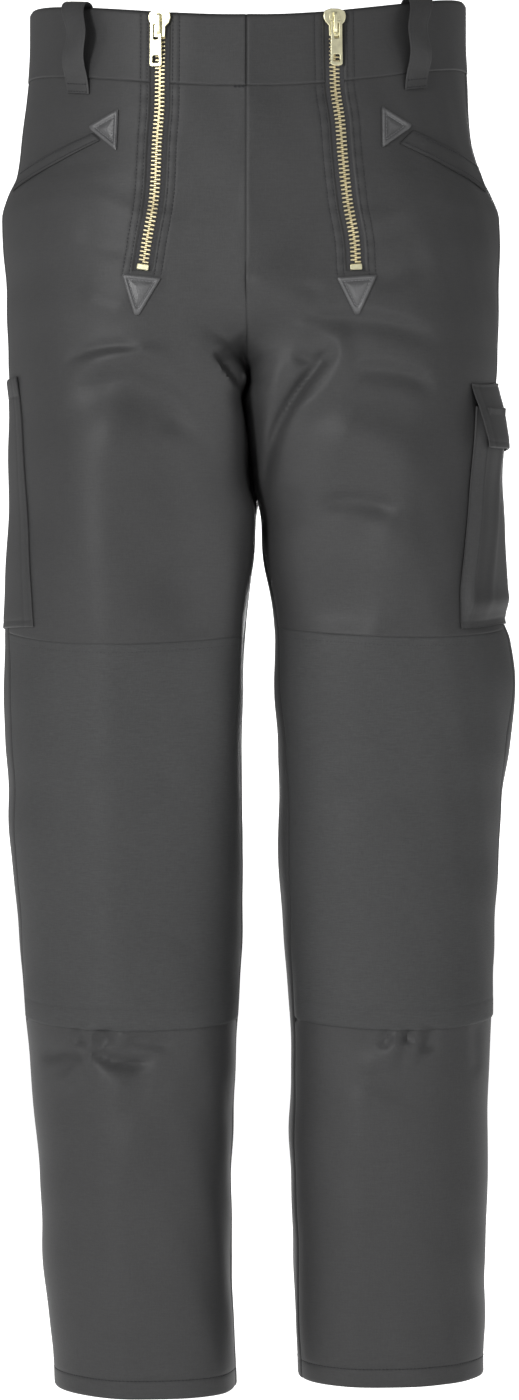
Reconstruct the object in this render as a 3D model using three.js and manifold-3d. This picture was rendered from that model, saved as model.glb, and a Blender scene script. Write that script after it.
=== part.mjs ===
import * as THREE from 'three';
import { mergeVertices } from 'three/addons/utils/BufferGeometryUtils.js';
import Module from 'manifold-3d';

// Two-zip work trousers as worn. Millimetres, +Z up, the front faces -Y.
// The origin is in the middle of the waist, at the waistband's mid height on the sides.
// "right" is the wearer's right (-X), "left" the wearer's left (+X).

const cloth = 1.6;            // thickness of one layer of moleskin
const seamGap = 0.3;          // between two pieces sewn edge to edge
const bandHeight = 54;        // waistband, top edge to seam
const bandRise = 1.0;         // how far the doubled band stands proud of the panels
const waistFront = 3.1;       // height of the top edge at the centre front
const waistBack = 36;         // and at the centre back
const forkZ = -268;           // where the two legs part
const riseFront = -165;       // where the front starts to curve into the crotch
const riseBack = -150;        // and the back
const zipEnd = -189;          // lower end of each zip's slit
const zipHalf = 7;            // half the width of the slit
const chainHalf = 4;          // half the width of the row of teeth
const lapLift = 2.0;          // how far the knee panel lifts to lap over the shin
const lapDepth = 10;          // length of that lap
const loopHalf = 8.5;         // half the width of a belt loop
const axisOut = 5.6;          // zip pull's hinge, out from the cloth

// Outline of each half in level sections. Distances are outwards from the middle plane.
// inD, inY: seam side. frontD, frontY: front-most. outD, outY: widest. backD, backY: back-most.
// tIn, tOut: where the inseam and outseam run on the ring (0 seam side, 1 front, 2 out, 3 back).
const columns = ['z', 'inD', 'inY', 'frontD', 'frontY', 'outD', 'outY', 'backD', 'backY', 'tIn', 'tOut'];
const rightRows = [
  [40, 2.65, 8, 40, -111, 169.5, 2, 45, 114, 0, 1.9],
  [0, 2.65, 8, 40, -115, 169.5, 2, 48, 119, 0, 1.9],
  [-45, 2.65, 8, 42, -119, 172.5, 2, 55, 126, 0, 1.9],
  [-75, 2.65, 8, 46, -122, 176.5, 2, 62, 131, 0, 1.9],
  [-104, 2.65, 8, 52, -124, 180, 1, 68, 135, 0, 1.9],
  [-120, 2.65, 8, 56, -124.5, 187, 0, 72, 137, 0, 1.9],
  [-136, 2.65, 8, 60, -125, 191.5, 0, 76, 139, 0, 1.9],
  [-160, 2.65, 8, 66, -125.5, 190.5, 0, 80, 141, 0, 1.9],
  [-200, 2.4, 8, 76, -125, 187.5, 2, 86, 141, 0, 1.9],
  [-245, 1.7, 8, 84, -122, 187, 4, 90, 131, 0, 1.9],
  [-268, 1.5, 8, 87, -120, 185.6, 5, 91, 124, 0, 1.9],
  [-300, -2.0, 8, 90, -117, 185.2, 6, 92, 115, 0.02, 1.9],
  [-350, -5.0, 7, 94, -112, 185.4, 6, 94, 105, 0.1, 1.9],
  [-384, -3.6, 6, 96, -109, 186.6, 5, 95, 99, 0.2, 1.88],
  [-420, 0.4, 5, 97, -105, 187.8, 4, 96, 92, 0.28, 1.84],
  [-461, 4.2, 4, 98, -101, 190.2, 3, 97, 85, 0.29, 1.78],
  [-508, 6.0, 3, 99, -97, 190.6, 2, 98, 79, 0.27, 1.74],
  [-560, 6.8, 2, 98, -92, 188, 1, 97, 75, 0.26, 1.74],
  [-600, 6.2, 1, 97, -89, 187, 1, 96, 74, 0.24, 1.76],
  [-662, 5.6, 0, 94, -85, 181, 1, 93, 76, 0.18, 1.8],
  [-725, 8.2, 0, 91, -82, 175.5, 2, 92, 79, 0.1, 1.9],
  [-786, 11.4, 1, 89, -79, 170.5, 3, 91, 79, 0.1, 1.96],
  [-848, 13.8, 2, 88, -76, 165, 3, 90, 77, 0.12, 2.0],
  [-895, 14.7, 2, 87, -74, 162, 3, 88, 75, 0.13, 2.0],
  [-950, 14.2, 2, 85, -72, 159.5, 3, 86, 73, 0.13, 2.0],
  [-988, 12.6, 2, 83, -71, 155.5, 3, 84, 72, 0.13, 2.0],
  [-1050, 10.6, 2, 80, -69, 150.5, 3, 80, 71, 0.13, 2.0],
];
const leftRows = [
  [40, -2.35, 8, 40, -111, 166.5, 2, 45, 114, 0, 1.9],
  [0, -2.35, 8, 40, -115, 166.5, 2, 48, 119, 0, 1.9],
  [-45, -2.35, 8, 42, -119, 168.5, 2, 55, 126, 0, 1.9],
  [-75, -2.35, 8, 46, -122, 171, 2, 62, 131, 0, 1.9],
  [-104, -2.35, 8, 52, -124, 179, 1, 68, 135, 0, 1.9],
  [-120, -2.35, 8, 56, -124.5, 187, 0, 72, 137, 0, 1.9],
  [-136, -2.35, 8, 60, -125, 192.5, 0, 76, 139, 0, 1.9],
  [-160, -2.35, 8, 66, -125.5, 192.5, 0, 80, 141, 0, 1.9],
  [-213, -2.0, 8, 78, -124.5, 192.5, 3, 87, 139, 0, 1.9],
  [-245, -1.3, 8, 84, -122, 191.5, 4, 90, 131, 0, 1.9],
  [-268, -0.5, 8, 87, -120, 189.5, 5, 91, 124, 0, 1.9],
  [-300, 4.0, 8, 92, -117, 188.5, 6, 94, 115, 0.02, 1.9],
  [-350, 8.2, 7, 98, -112, 187.2, 6, 98, 105, 0.1, 1.9],
  [-384, 9.4, 6, 102, -109, 188.0, 5, 101, 99, 0.2, 1.9],
  [-420, 14.6, 5, 105, -105, 189.8, 4, 104, 92, 0.29, 1.9],
  [-445, 18.2, 4, 108, -102, 195.5, 3, 107, 87, 0.32, 1.87],
  [-461, 19.6, 4, 109, -101, 201.5, 3, 108, 85, 0.33, 1.86],
  [-492, 19.0, 3, 111, -98, 205, 2, 110, 80, 0.35, 1.84],
  [-545, 21.6, 2, 110, -93, 201, 1, 109, 76, 0.37, 1.8],
  [-585, 22.4, 1, 108, -90, 194.5, 1, 107, 74, 0.39, 1.86],
  [-631, 22.0, 0, 106, -87, 192, 1, 105, 75, 0.38, 1.92],
  [-693, 26.2, 0, 106, -83, 189, 1, 106, 77, 0.33, 1.96],
  [-755, 31.0, 1, 108, -80, 186.8, 2, 108, 79, 0.28, 2.0],
  [-800, 31.6, 2, 108, -78, 185, 3, 109, 79, 0.28, 2.0],
  [-848, 30.4, 2, 108, -76, 184.4, 3, 109, 77, 0.3, 2.0],
  [-900, 32.4, 2, 108, -74, 183.6, 3, 109, 75, 0.3, 2.0],
  [-970, 34.6, 2, 108, -71, 181.8, 3, 109, 72, 0.28, 2.0],
  [-1040, 37.4, 2, 109, -69, 181.2, 3, 109, 71, 0.27, 2.0],
];

// Where things lie on each half: distances outwards and heights seen from the front.
const sides = {
  right: {
    sign: -1, rows: rightRows, waistSide: 23.3, hemZ: -1037, kneeTop: -456, kneeBow: -10, kneeEnd: -751, endBow: -6.5,
    zip: [[60, 68.5], [0, 66.5], [-66, 67], [-94, 68.8], [-124, 70], [-140, 71.5], [-167, 76.3], [-189, 79.8], [-230, 88], [-300, 93], [-460, 98]],
    zipTab: [[93.9, -191.5], [66.5, -194.5], [82.2, -220.5], [85.2, -220.5]],
    pocketTab: [[119.3, -78.0], [118.2, -80.6], [99.4, -97.4], [98.0, -67.4]],
    welt: [[111.5, -89.3], [181.5, -118.5], [175.5, -104], [117.5, -83.4]],
    loopX: 128, loopBackX: 92,
  },
  left: {
    sign: 1, rows: leftRows, waistSide: 30.2, hemZ: -1028, kneeTop: -452, kneeBow: -8.5, kneeEnd: -750, endBow: -7,
    zip: [[60, 63.5], [0, 62.8], [-52, 63.6], [-81, 67.3], [-108, 69.5], [-139, 73], [-170, 78.3], [-189, 79.4], [-230, 88], [-300, 95], [-460, 108]],
    zipTab: [[65.7, -194.3], [93.9, -192.1], [81.4, -219.8], [78.3, -219.8]],
    pocketTab: [[98.6, -65.2], [99.1, -95.1], [118.8, -79.4], [120.2, -76.6]],
    welt: [[122.6, -80.2], [173.5, -97.5], [181, -119], [112.4, -91.6]],
    loopX: 124, loopBackX: 92,
  },
};

// The largest folds: soft ridges (height above 0) and troughs between two points.
// face, side, d0, z0, d1, z1, bend sideways, half width, height.
const foldColumns = ['side', 'face', 'd0', 'z0', 'd1', 'z1', 'bend', 'width', 'height'];
const folds = [
  ['right', 'front', 150, -225, 92, -226, 8, 9, 3.2],
  ['right', 'front', 132, -250, 40, -262, 12, 10, -3.6],
  ['left', 'front', 2, -186, 66, -228, 5, 9, 3.6],
  ['left', 'front', 54, -232, 14, -330, -6, 9, -5.0],
  ['left', 'front', 38, -275, 112, -282, 4, 10, -3.0],
  ['left', 'front', 64, -352, 104, -352, 5, 12, -3.0],
  ['left', 'front', 48, -420, 88, -428, 4, 14, -2.6],
  ['right', 'front', 45, -300, 30, -440, 4, 16, -2.4],
  ['right', 'front', 40, -770, 92, -860, 6, 12, 2.6],
  ['left', 'back', 20, -285, 110, -250, -8, 12, -4.0],
  ['right', 'back', 22, -290, 105, -256, -8, 12, -4.2],
  ['left', 'back', 60, -520, 150, -500, 5, 12, -3.2],
  ['right', 'back', 50, -512, 140, -525, 5, 12, -3.2],
];

const clamp = (x, low, high) => Math.min(high, Math.max(low, x));
const mix = (a, b, k) => a + (b - a) * k;
const smooth = (low, high, x) => {
  const k = clamp((x - low) / (high - low), 0, 1);
  return k * k * (3 - 2 * k);
};

// Smooth reading of one column of a table of rows sorted by falling first number.
function read(rows, column, z) {
  const last = rows.length - 1;
  if (z >= rows[0][0]) return rows[0][column];
  if (z <= rows[last][0]) return rows[last][column];
  let i = 0;
  while (rows[i + 1][0] > z) i += 1;
  const slope = (k) => {
    if (k === 0 || k === last) return 0;
    const a = (rows[k][column] - rows[k - 1][column]) / (rows[k][0] - rows[k - 1][0]);
    const b = (rows[k + 1][column] - rows[k][column]) / (rows[k + 1][0] - rows[k][0]);
    return a * b <= 0 ? 0 : (2 * a * b) / (a + b);
  };
  const h = rows[i + 1][0] - rows[i][0];
  const k = (z - rows[i][0]) / h;
  const k2 = k * k;
  const k3 = k2 * k;
  return rows[i][column] * (2 * k3 - 3 * k2 + 1) + slope(i) * h * (k3 - 2 * k2 + k)
    + rows[i + 1][column] * (3 * k2 - 2 * k3) + slope(i + 1) * h * (k3 - k2);
}
const section = (side, name, z) => read(sides[side].rows, columns.indexOf(name), z);

// Depth of the seam side: above the fork it follows the crotch curve, an ellipse.
function seamY(side, face, z) {
  const start = face === 'front' ? riseFront : riseBack;
  const far = section(side, face === 'front' ? 'frontY' : 'backY', Math.max(z, forkZ));
  const low = section(side, 'inY', z);
  if (z <= forkZ) return low;
  const k = clamp((start - z) / (start - forkZ), 0, 1);
  return low + (far - low) * Math.sqrt(1 - k * k);
}

// Point of one half at ring place t and level z, in outward distance and depth: quarter ellipses.
function ring(side, t, z) {
  const whole = z <= forkZ ? 4 : 1e9;
  const u = t > 4 && whole === 4 ? t - 4 : clamp(t, 0, 4);
  const inD = section(side, 'inD', z);
  const outD = section(side, 'outD', z);
  const outY = section(side, 'outY', z);
  const face = u <= 2 ? 'front' : 'back';
  const farD = section(side, face + 'D', z);
  const farY = section(side, face + 'Y', z);
  const q = u <= 2 ? u : 4 - u;
  if (q >= 1) {
    const a = (q - 1) * Math.PI / 2;
    return [farD + (outD - farD) * Math.sin(a), outY + (farY - outY) * Math.cos(a)];
  }
  const open = smooth(forkZ, face === 'front' ? riseFront : riseBack, z);
  const a = q * Math.PI / 2;
  const across = mix(1 - Math.cos(a), q, open);
  const y0 = seamY(side, face, z);
  const y = y0 + (farY - y0) * Math.sin(a);
  // Between thighs that touch, the meeting plane bends so that it isn't a straight slot.
  const bent = smooth(forkZ + 4, forkZ - 12, z) * smooth(-372, -335, z);
  const shift = 6 * bent * (1 - across) * (1 - across) * Math.tanh((y - y0) / 18);
  return [inD + (farD - inD) * across + sides[side].sign * shift, y];
}

// The waist dips at the centre front: added height at a ring place, fading out downwards.
function dip(side, t, v) {
  const [d, y] = ring(side, t, v);
  const half = section(side, 'outD', v);
  const lift = sides[side].waistSide - waistFront;
  const k = clamp(d / half, 0, 1);
  if (y <= 0 || t <= 2) return lift * k * k;
  return mix(waistBack - waistFront, lift, k * k);
}
const levelOf = (side, t, v) => v + dip(side, t, v) * smooth(-210, -50, v);

function foldHeight(side, d, y, z, normal) {
  let sum = 0;
  for (const row of folds) {
    const f = Object.fromEntries(foldColumns.map((name, i) => [name, row[i]]));
    if (f.side !== side) continue;
    const facing = f.face === 'front' ? -normal.y : normal.y;
    const weight = smooth(0.05, 0.5, facing);
    if (weight === 0) continue;
    const dx = f.d1 - f.d0;
    const dz = f.z1 - f.z0;
    const length = Math.hypot(dx, dz);
    const along = ((d - f.d0) * dx + (z - f.z0) * dz) / (length * length);
    const off = ((d - f.d0) * -dz + (z - f.z0) * dx) / length - f.bend * 4 * along * (1 - along);
    const ends = smooth(-0.25, 0.2, along) * smooth(1.25, 0.8, along);
    sum += f.height * weight * ends * Math.exp(-((off / f.width) ** 2));
  }
  return sum;
}

// Surface point and outward normal of a half at ring place t and level v.
function bare(side, t, v) {
  const z = levelOf(side, t, v);
  const [d, y] = ring(side, t, z);
  return new THREE.Vector3(sides[side].sign * d, y, z);
}
function surface(side, t, v) {
  const limit = v > forkZ;
  const step = 0.02;
  const t0 = limit ? clamp(t, 0.03, 3.97) : t + (t < step ? 4 : 0);
  const across = bare(side, t0 + step, v).sub(bare(side, t0 - step, v));
  const up = bare(side, t0, v + 1).sub(bare(side, t0, v - 1));
  const normal = across.cross(up).normalize();
  if (side === 'right') normal.negate();
  const point = bare(side, t, v);
  const height = foldHeight(side, Math.abs(point.x), point.y, point.z, normal);
  return { point: point.addScaledVector(normal, height), normal };
}
const lifted = (s, out) => s.point.clone().addScaledVector(s.normal, out);

// Ring place of an outward distance on the front (0 to 2) or back (2 to 4), found by halving.
function placeAt(side, face, d, v) {
  let low = face === 'front' ? 0 : 4;
  let high = 2;
  for (let i = 0; i < 40; i += 1) {
    const middle = (low + high) / 2;
    if (ring(side, middle, levelOf(side, middle, v))[0] < d) low = middle;
    else high = middle;
  }
  return (low + high) / 2;
}
// Ring place and level of a point given by its outward distance and its real height.
function spot(side, face, d, z) {
  let v = z;
  let t = 1;
  for (let i = 0; i < 12; i += 1) {
    t = placeAt(side, face, d, v);
    v += z - levelOf(side, t, v);
  }
  return [t, v];
}

// Closed wall between two lifts of a grid of surface points. hole(i, j) leaves cells out.
function wall(grid, low, high, hole = () => false) {
  const rows = grid.length;
  const cols = grid[0].length;
  const positions = [];
  const put = (out) => grid.map((row, i) => row.map((s, j) => {
    const p = lifted(s, typeof out === 'function' ? out(i, j) : out);
    positions.push(p.x, p.y, p.z);
    return positions.length / 3 - 1;
  }));
  const under = put(low);
  const over = put(high);
  const there = (i, j) => i >= 0 && j >= 0 && i < rows - 1 && j < cols - 1 && !hole(i, j);
  const faces = [];
  const quad = (a, b, c, d) => faces.push(a, b, c, a, c, d);
  for (let i = 0; i < rows - 1; i += 1) {
    for (let j = 0; j < cols - 1; j += 1) {
      if (!there(i, j)) continue;
      quad(over[i][j], over[i][j + 1], over[i + 1][j + 1], over[i + 1][j]);
      quad(under[i][j], under[i + 1][j], under[i + 1][j + 1], under[i][j + 1]);
      if (!there(i - 1, j)) quad(over[i][j], under[i][j], under[i][j + 1], over[i][j + 1]);
      if (!there(i + 1, j)) quad(over[i + 1][j + 1], under[i + 1][j + 1], under[i + 1][j], over[i + 1][j]);
      if (!there(i, j - 1)) quad(over[i + 1][j], under[i + 1][j], under[i][j], over[i][j]);
      if (!there(i, j + 1)) quad(over[i][j + 1], under[i][j + 1], under[i + 1][j + 1], over[i + 1][j + 1]);
    }
  }
  return solid(positions, faces);
}

// Geometry of used vertices, turned so that its faces point out.
function solid(positions, faces) {
  let volume = 0;
  for (let i = 0; i < faces.length; i += 3) {
    const [a, b, c] = [0, 1, 2].map((k) => new THREE.Vector3().fromArray(positions, faces[i + k] * 3));
    volume += a.dot(b.cross(c));
  }
  const turned = volume > 0 ? faces : faces.slice().reverse();
  const flat = [];
  for (const k of turned) flat.push(positions[k * 3], positions[k * 3 + 1], positions[k * 3 + 2]);
  const geometry = new THREE.BufferGeometry();
  geometry.setAttribute('position', new THREE.Float32BufferAttribute(flat, 3));
  const merged = mergeVertices(geometry, 1e-4);
  merged.computeVertexNormals();
  return merged;
}

const group = new THREE.Group();
const paint = {
  moleskin: new THREE.MeshStandardMaterial({ color: 0x4b4b4c, roughness: 0.9, metalness: 0 }),
  plain: new THREE.MeshStandardMaterial({ color: 0x525354, roughness: 0.95, metalness: 0 }),
  leather: new THREE.MeshStandardMaterial({ color: 0x2b2b2d, roughness: 0.5, metalness: 0 }),
  tape: new THREE.MeshStandardMaterial({ color: 0x252528, roughness: 0.9, metalness: 0 }),
  brass: new THREE.MeshStandardMaterial({ color: 0xc8b27a, roughness: 0.35, metalness: 1 }),
};
function add(name, geometry, material) {
  const mesh = new THREE.Mesh(geometry, paint[material]);
  mesh.name = name;
  group.add(mesh);
  return mesh;
}

// Places of the pieces' edges on the ring at level v.
const zipPlace = (side, v, offset) => {
  const z = Math.max(v, -460);
  const widen = mix(1, 2.6, smooth(zipEnd - 10, -420, v));
  return placeAt(side, 'front', read(sides[side].zip, 1, z) + offset * widen, v);
};
const inseam = (side, v) => (v > forkZ ? 0 : section(side, 'tIn', v));
const outseam = (side, v) => section(side, 'tOut', v);
// Half the seam gap as a step of t: the ring is about 130 mm long for each unit.
const gapT = (seamGap / 2) / 80;
const spread = (from, to, count, ease = 1) => Array.from({ length: count + 1 }, (_, i) => {
  const k = i / count;
  return mix(from, to, ease === 1 ? k : 1 - (1 - k) ** ease);
});

// Levels used by front and back panels alike, so that their seams match.
const upperLevels = [-64, -76, -86, -94, -102, -110, -118, -126, -136, -150, -168, zipEnd, -206, -222, -236, -247, -256, -263, forkZ];
const thighLevels = [-274, -284, -298, -318, -342, -370, -400, -430];

const kneeLevels = (side) => {
  const { kneeTop, kneeEnd } = sides[side];
  const turn = kneeEnd + lapDepth;
  return [...spread(kneeTop, turn + 16, 8), turn + 3, turn - 3, kneeEnd];
};
const shinLevels = (side) => [sides[side].kneeEnd + lapDepth - 3, ...spread(sides[side].kneeEnd - 5, sides[side].hemZ, 8)];

function frontPanel(side) {
  const { kneeTop, kneeBow } = sides[side];
  const top = waistFront - bandHeight - seamGap;
  const levels = [top, ...upperLevels, ...thighLevels, kneeTop];
  const zipRow = levels.indexOf(zipEnd);
  const grid = levels.map((level, i) => {
    const v = i === levels.length - 1 ? level + seamGap : level;
    const keys = [inseam(side, v) + gapT, zipPlace(side, v, -zipHalf), zipPlace(side, v, zipHalf), outseam(side, v) - gapT];
    const places = [...spread(keys[0], keys[1], 4), ...spread(keys[1], keys[2], 2).slice(1), ...spread(keys[2], keys[3], 7).slice(1)];
    const bow = kneeBow * smooth(-220, kneeTop, v);
    return places.map((t) => {
      const s = (t - keys[0]) / (keys[3] - keys[0]);
      return surface(side, t, v + bow * Math.sin(Math.PI * s));
    });
  });
  return wall(grid, -cloth, 0, (i, j) => i < zipRow && (j === 4 || j === 5));
}

function backPanel(side) {
  const top = waistFront - bandHeight - seamGap;
  const levels = [top, ...upperLevels, ...thighLevels, ...kneeLevels(side), ...shinLevels(side).slice(1)];
  const grid = levels.map((v) => {
    const end = v > forkZ ? 4 : 4 + section(side, 'tIn', v);
    return spread(outseam(side, v) + gapT, end - gapT, 12).map((t) => surface(side, t, v));
  });
  return wall(grid, -cloth, 0);
}

// Knee and shin: rings between inseam and outseam; their cross edges bow down in the middle.
function legPanel(side, levels, bows, lifts) {
  const grid = levels.map((v, i) => {
    const from = inseam(side, v) + gapT;
    const to = outseam(side, v) - gapT;
    return spread(from, to, 11).map((t) => {
      const s = (t - from) / (to - from);
      return surface(side, t, v + bows[i] * Math.sin(Math.PI * s));
    });
  });
  return wall(grid, (i) => lifts[i] - cloth, (i) => lifts[i]);
}
function kneePanel(side) {
  const { kneeTop, kneeBow, kneeEnd, endBow } = sides[side];
  const levels = kneeLevels(side);
  const bows = levels.map((v) => mix(kneeBow, endBow, (v - kneeTop) / (kneeEnd - kneeTop)));
  const lifts = levels.map((v, i) => (i >= levels.length - 3 ? lapLift : 0));
  return legPanel(side, levels, bows, lifts);
}
function shinPanel(side) {
  const { kneeEnd, endBow, hemZ } = sides[side];
  const levels = shinLevels(side);
  const bows = levels.map((v) => endBow * smooth(hemZ + 80, kneeEnd, v));
  return legPanel(side, levels, bows, levels.map(() => 0));
}

// Waistband piece between two ring places that depend on the level.
function band(side, from, to, count) {
  const levels = [waistFront, waistFront - 14, waistFront - 34, waistFront - bandHeight];
  const grid = levels.map((v) => spread(from(v), to(v), count).map((t) => surface(side, t, v)));
  return wall(grid, -cloth, bandRise);
}

// Strip of cloth following a path of [out, height] beside surface points at given distances.
function strap(places, path, thick) {
  const rows = path.map(([out, rise], i) => {
    const [a, b] = [path[Math.max(0, i - 1)], path[Math.min(path.length - 1, i + 1)]];
    const length = Math.hypot(b[0] - a[0], b[1] - a[1]);
    const normal = [(b[1] - a[1]) / length, -(b[0] - a[0]) / length];
    return { out, rise, normal };
  });
  const positions = [];
  const put = (sign) => rows.map(({ out, rise, normal }) => places.map((place) => {
    const n = out + normal[0] * sign * thick / 2;
    const p = place(rise + normal[1] * sign * thick / 2, n);
    positions.push(p.x, p.y, p.z);
    return positions.length / 3 - 1;
  }));
  const one = put(1);
  const two = put(-1);
  const faces = [];
  const quad = (a, b, c, d) => faces.push(a, b, c, a, c, d);
  const [m, n] = [rows.length - 1, places.length - 1];
  for (let i = 0; i < m; i += 1) {
    for (let j = 0; j < n; j += 1) {
      quad(one[i][j], one[i][j + 1], one[i + 1][j + 1], one[i + 1][j]);
      quad(two[i][j], two[i + 1][j], two[i + 1][j + 1], two[i][j + 1]);
    }
    quad(one[i + 1][0], two[i + 1][0], two[i][0], one[i][0]);
    quad(one[i][n], two[i][n], two[i + 1][n], one[i + 1][n]);
  }
  for (let j = 0; j < n; j += 1) {
    quad(one[0][j], two[0][j], two[0][j + 1], one[0][j + 1]);
    quad(one[m][j + 1], two[m][j + 1], two[m][j], one[m][j]);
  }
  return solid(positions, faces);
}

// Belt loop: from inside the band over its top edge, bowed out, sewn down below the band.
function beltLoop(face, x) {
  const offsets = [-loopHalf, 0, loopHalf];
  const places = offsets.map((offset) => {
    const side = x + offset < -2.6 ? 'right' : 'left';
    const d = sides[side].sign * (x + offset);
    return (rise, out) => {
      const v = waistFront + rise;
      return lifted(surface(side, placeAt(side, face, d, v), v), out);
    };
  });
  const path = [
    [-3.0, -16], [-3.0, -8], [-3.0, -1], [-2.2, 2.6], [0.6, 4.6], [4.4, 3.8], [7.6, 0.8],
    [9.6, -6], [10.6, -16], [10.6, -28], [9.2, -38], [6.6, -46], [4.0, -51], [2.6, -55], [1.8, -58], [1.35, -62],
  ];
  return strap(places, path, 1.4);
}

// Four-cornered patch of cloth or leather on the front, given by distances and heights.
function patch(side, corners, rows, cols, low, high) {
  const [a, b, c, d] = corners.map(([x, z]) => spot(side, 'front', x, z));
  const grid = spread(0, 1, rows).map((k) => spread(0, 1, cols).map((m) => {
    const t = mix(mix(a[0], b[0], m), mix(d[0], c[0], m), k);
    const v = mix(mix(a[1], b[1], m), mix(d[1], c[1], m), k);
    return surface(side, t, v);
  }));
  return wall(grid, low, high);
}

// Straight strip along the zip line between two levels and two offsets.
function zipStrip(side, levels, half, low, high) {
  const grid = levels.map((v) => {
    const middle = read(sides[side].zip, 1, v);
    return [-half, 0, half].map((offset) => surface(side, placeAt(side, 'front', middle + offset, v), v));
  });
  return wall(grid, low, high);
}

// Side pocket pieces across the outseam, from ring place and level corners:
// [place at the front edge, place at the back edge, level] for top and bottom.
// Each row is [level share, lift], each column [width share, lift share].
function sidePiece(side, top, bottom, rows, cols, thick) {
  const grid = rows.map(([k]) => cols.map(([m]) => {
    const from = mix(top[0], bottom[0], k);
    const to = mix(top[1], bottom[1], k);
    return surface(side, mix(from, to, m), mix(top[2], bottom[2], k));
  }));
  const lift = (i, j) => mix(surfaceRest, rows[i][1], cols[j][1]);
  return wall(grid, lift, (i, j) => lift(i, j) + thick);
}
const surfaceRest = 0.8;      // lift of an edge that is sewn down
const boxCols = [[0, 0], [0.045, 1], [0.15, 1], [0.27, 1], [0.39, 1], [0.5, 1], [0.61, 1], [0.73, 1], [0.85, 1], [0.955, 1], [1, 0]];
const openCols = boxCols.map(([m]) => [m, 1]);
function cargoPocket() {
  const rows = [[0, 7.9], [0.12, 7.9], [0.28, 7.9], [0.46, 7.9], [0.64, 7.9], [0.8, 7.9], [0.955, 7.6], [1, surfaceRest]];
  return sidePiece('left', [1.61, 2.5, -281], [1.37, 2.37, -449], rows, boxCols, 1.5);
}
function cargoFlap() {
  const rows = [[0, surfaceRest], [0.1, 3.8], [0.22, 8.2], [0.33, 10.1], [0.6, 10.7], [1, 11.3]];
  return sidePiece('left', [1.57, 2.54, -261.5], [1.6, 2.53, -312.5], rows, openCols, 1.5);
}
function rulePocket() {
  const rows = [[0, 1.6], [0.1, surfaceRest], [0.25, surfaceRest], [0.4, surfaceRest], [0.55, surfaceRest],
    [0.7, surfaceRest], [0.85, surfaceRest], [1, surfaceRest]];
  return sidePiece('right', [1.715, 2.21, -261], [1.5, 2.08, -452.5], rows, openCols, 1.5);
}

const wasm = await Module();
wasm.setup();
function toSolid(geometry) {
  const bareGeometry = geometry.clone();
  bareGeometry.deleteAttribute('normal');
  bareGeometry.deleteAttribute('uv');
  const merged = mergeVertices(bareGeometry, 1e-4);
  const mesh = new wasm.Mesh({
    numProp: 3,
    vertProperties: new Float32Array(merged.attributes.position.array),
    triVerts: new Uint32Array(merged.index.array),
  });
  return new wasm.Manifold(mesh);
}
function fromSolid(body) {
  const mesh = body.getMesh();
  const geometry = new THREE.BufferGeometry();
  geometry.setAttribute('position', new THREE.BufferAttribute(new Float32Array(mesh.vertProperties), 3));
  geometry.setIndex(new THREE.BufferAttribute(new Uint32Array(mesh.triVerts), 1));
  geometry.computeVertexNormals();
  return geometry;
}

// The zip pull's frame: upright, turned about the vertical to face straight out of the cloth.
function zipFrame(side) {
  const v = -6.5;
  const s = surface(side, zipPlace(side, v, 0), v);
  const out = new THREE.Vector3(s.normal.x, s.normal.y, 0).normalize();
  const up = new THREE.Vector3(0, 0, 1);
  const across = new THREE.Vector3().crossVectors(up, out);
  return new THREE.Matrix4().makeBasis(across, up, out).setPosition(s.point);
}

// Slider, in its own frame: x across, y up, z out of the cloth.
function sliderGeometry() {
  const body = new THREE.Shape();
  body.moveTo(-4.2, -10.5);
  body.lineTo(4.2, -10.5);
  body.lineTo(5.4, -5);
  body.lineTo(7.4, 2);
  body.quadraticCurveTo(7.8, 9.2, 3.4, 10.2);
  body.lineTo(-3.4, 10.2);
  body.quadraticCurveTo(-7.8, 9.2, -7.4, 2);
  body.lineTo(-5.4, -5);
  body.closePath();
  const plate = new THREE.ExtrudeGeometry(body, { depth: 2.9, bevelEnabled: false, curveSegments: 5 });
  plate.translate(0, 0, 1.3);
  const core = new THREE.ExtrudeGeometry(body, { depth: 3.2, bevelEnabled: false, curveSegments: 3 });
  core.scale(0.66, 0.9, 1);
  core.translate(0, 0, -1.3);
  const arch = new THREE.Shape();
  arch.moveTo(-5.2, 3.6);
  arch.lineTo(6.4, 3.6);
  arch.lineTo(6.0, 6.6);
  arch.quadraticCurveTo(5.6, 8.2, 3.8, 8.2);
  arch.lineTo(-2.4, 8.2);
  arch.quadraticCurveTo(-4.6, 8.0, -5.2, 6.0);
  arch.closePath();
  const gap = new THREE.Path();
  gap.moveTo(-3.2, 4.2);
  gap.lineTo(-3.2, 6.2);
  gap.lineTo(-2.2, 7.0);
  gap.lineTo(3.4, 7.0);
  gap.lineTo(4.4, 6.2);
  gap.lineTo(4.4, 4.2);
  arch.holes.push(gap);
  // The arch's drawing plane is (up, out); it is turned to stand along the zip.
  const bridge = new THREE.ExtrudeGeometry(arch, { depth: 2.6, bevelEnabled: false, curveSegments: 4 });
  bridge.translate(0, 0, -1.3);
  bridge.applyMatrix4(new THREE.Matrix4().set(0, 0, 1, 0, 1, 0, 0, 0, 0, 1, 0, 0, 0, 0, 0, 1));
  return fromSolid(toSolid(plate).add(toSolid(core)).add(toSolid(bridge)));
}

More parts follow.
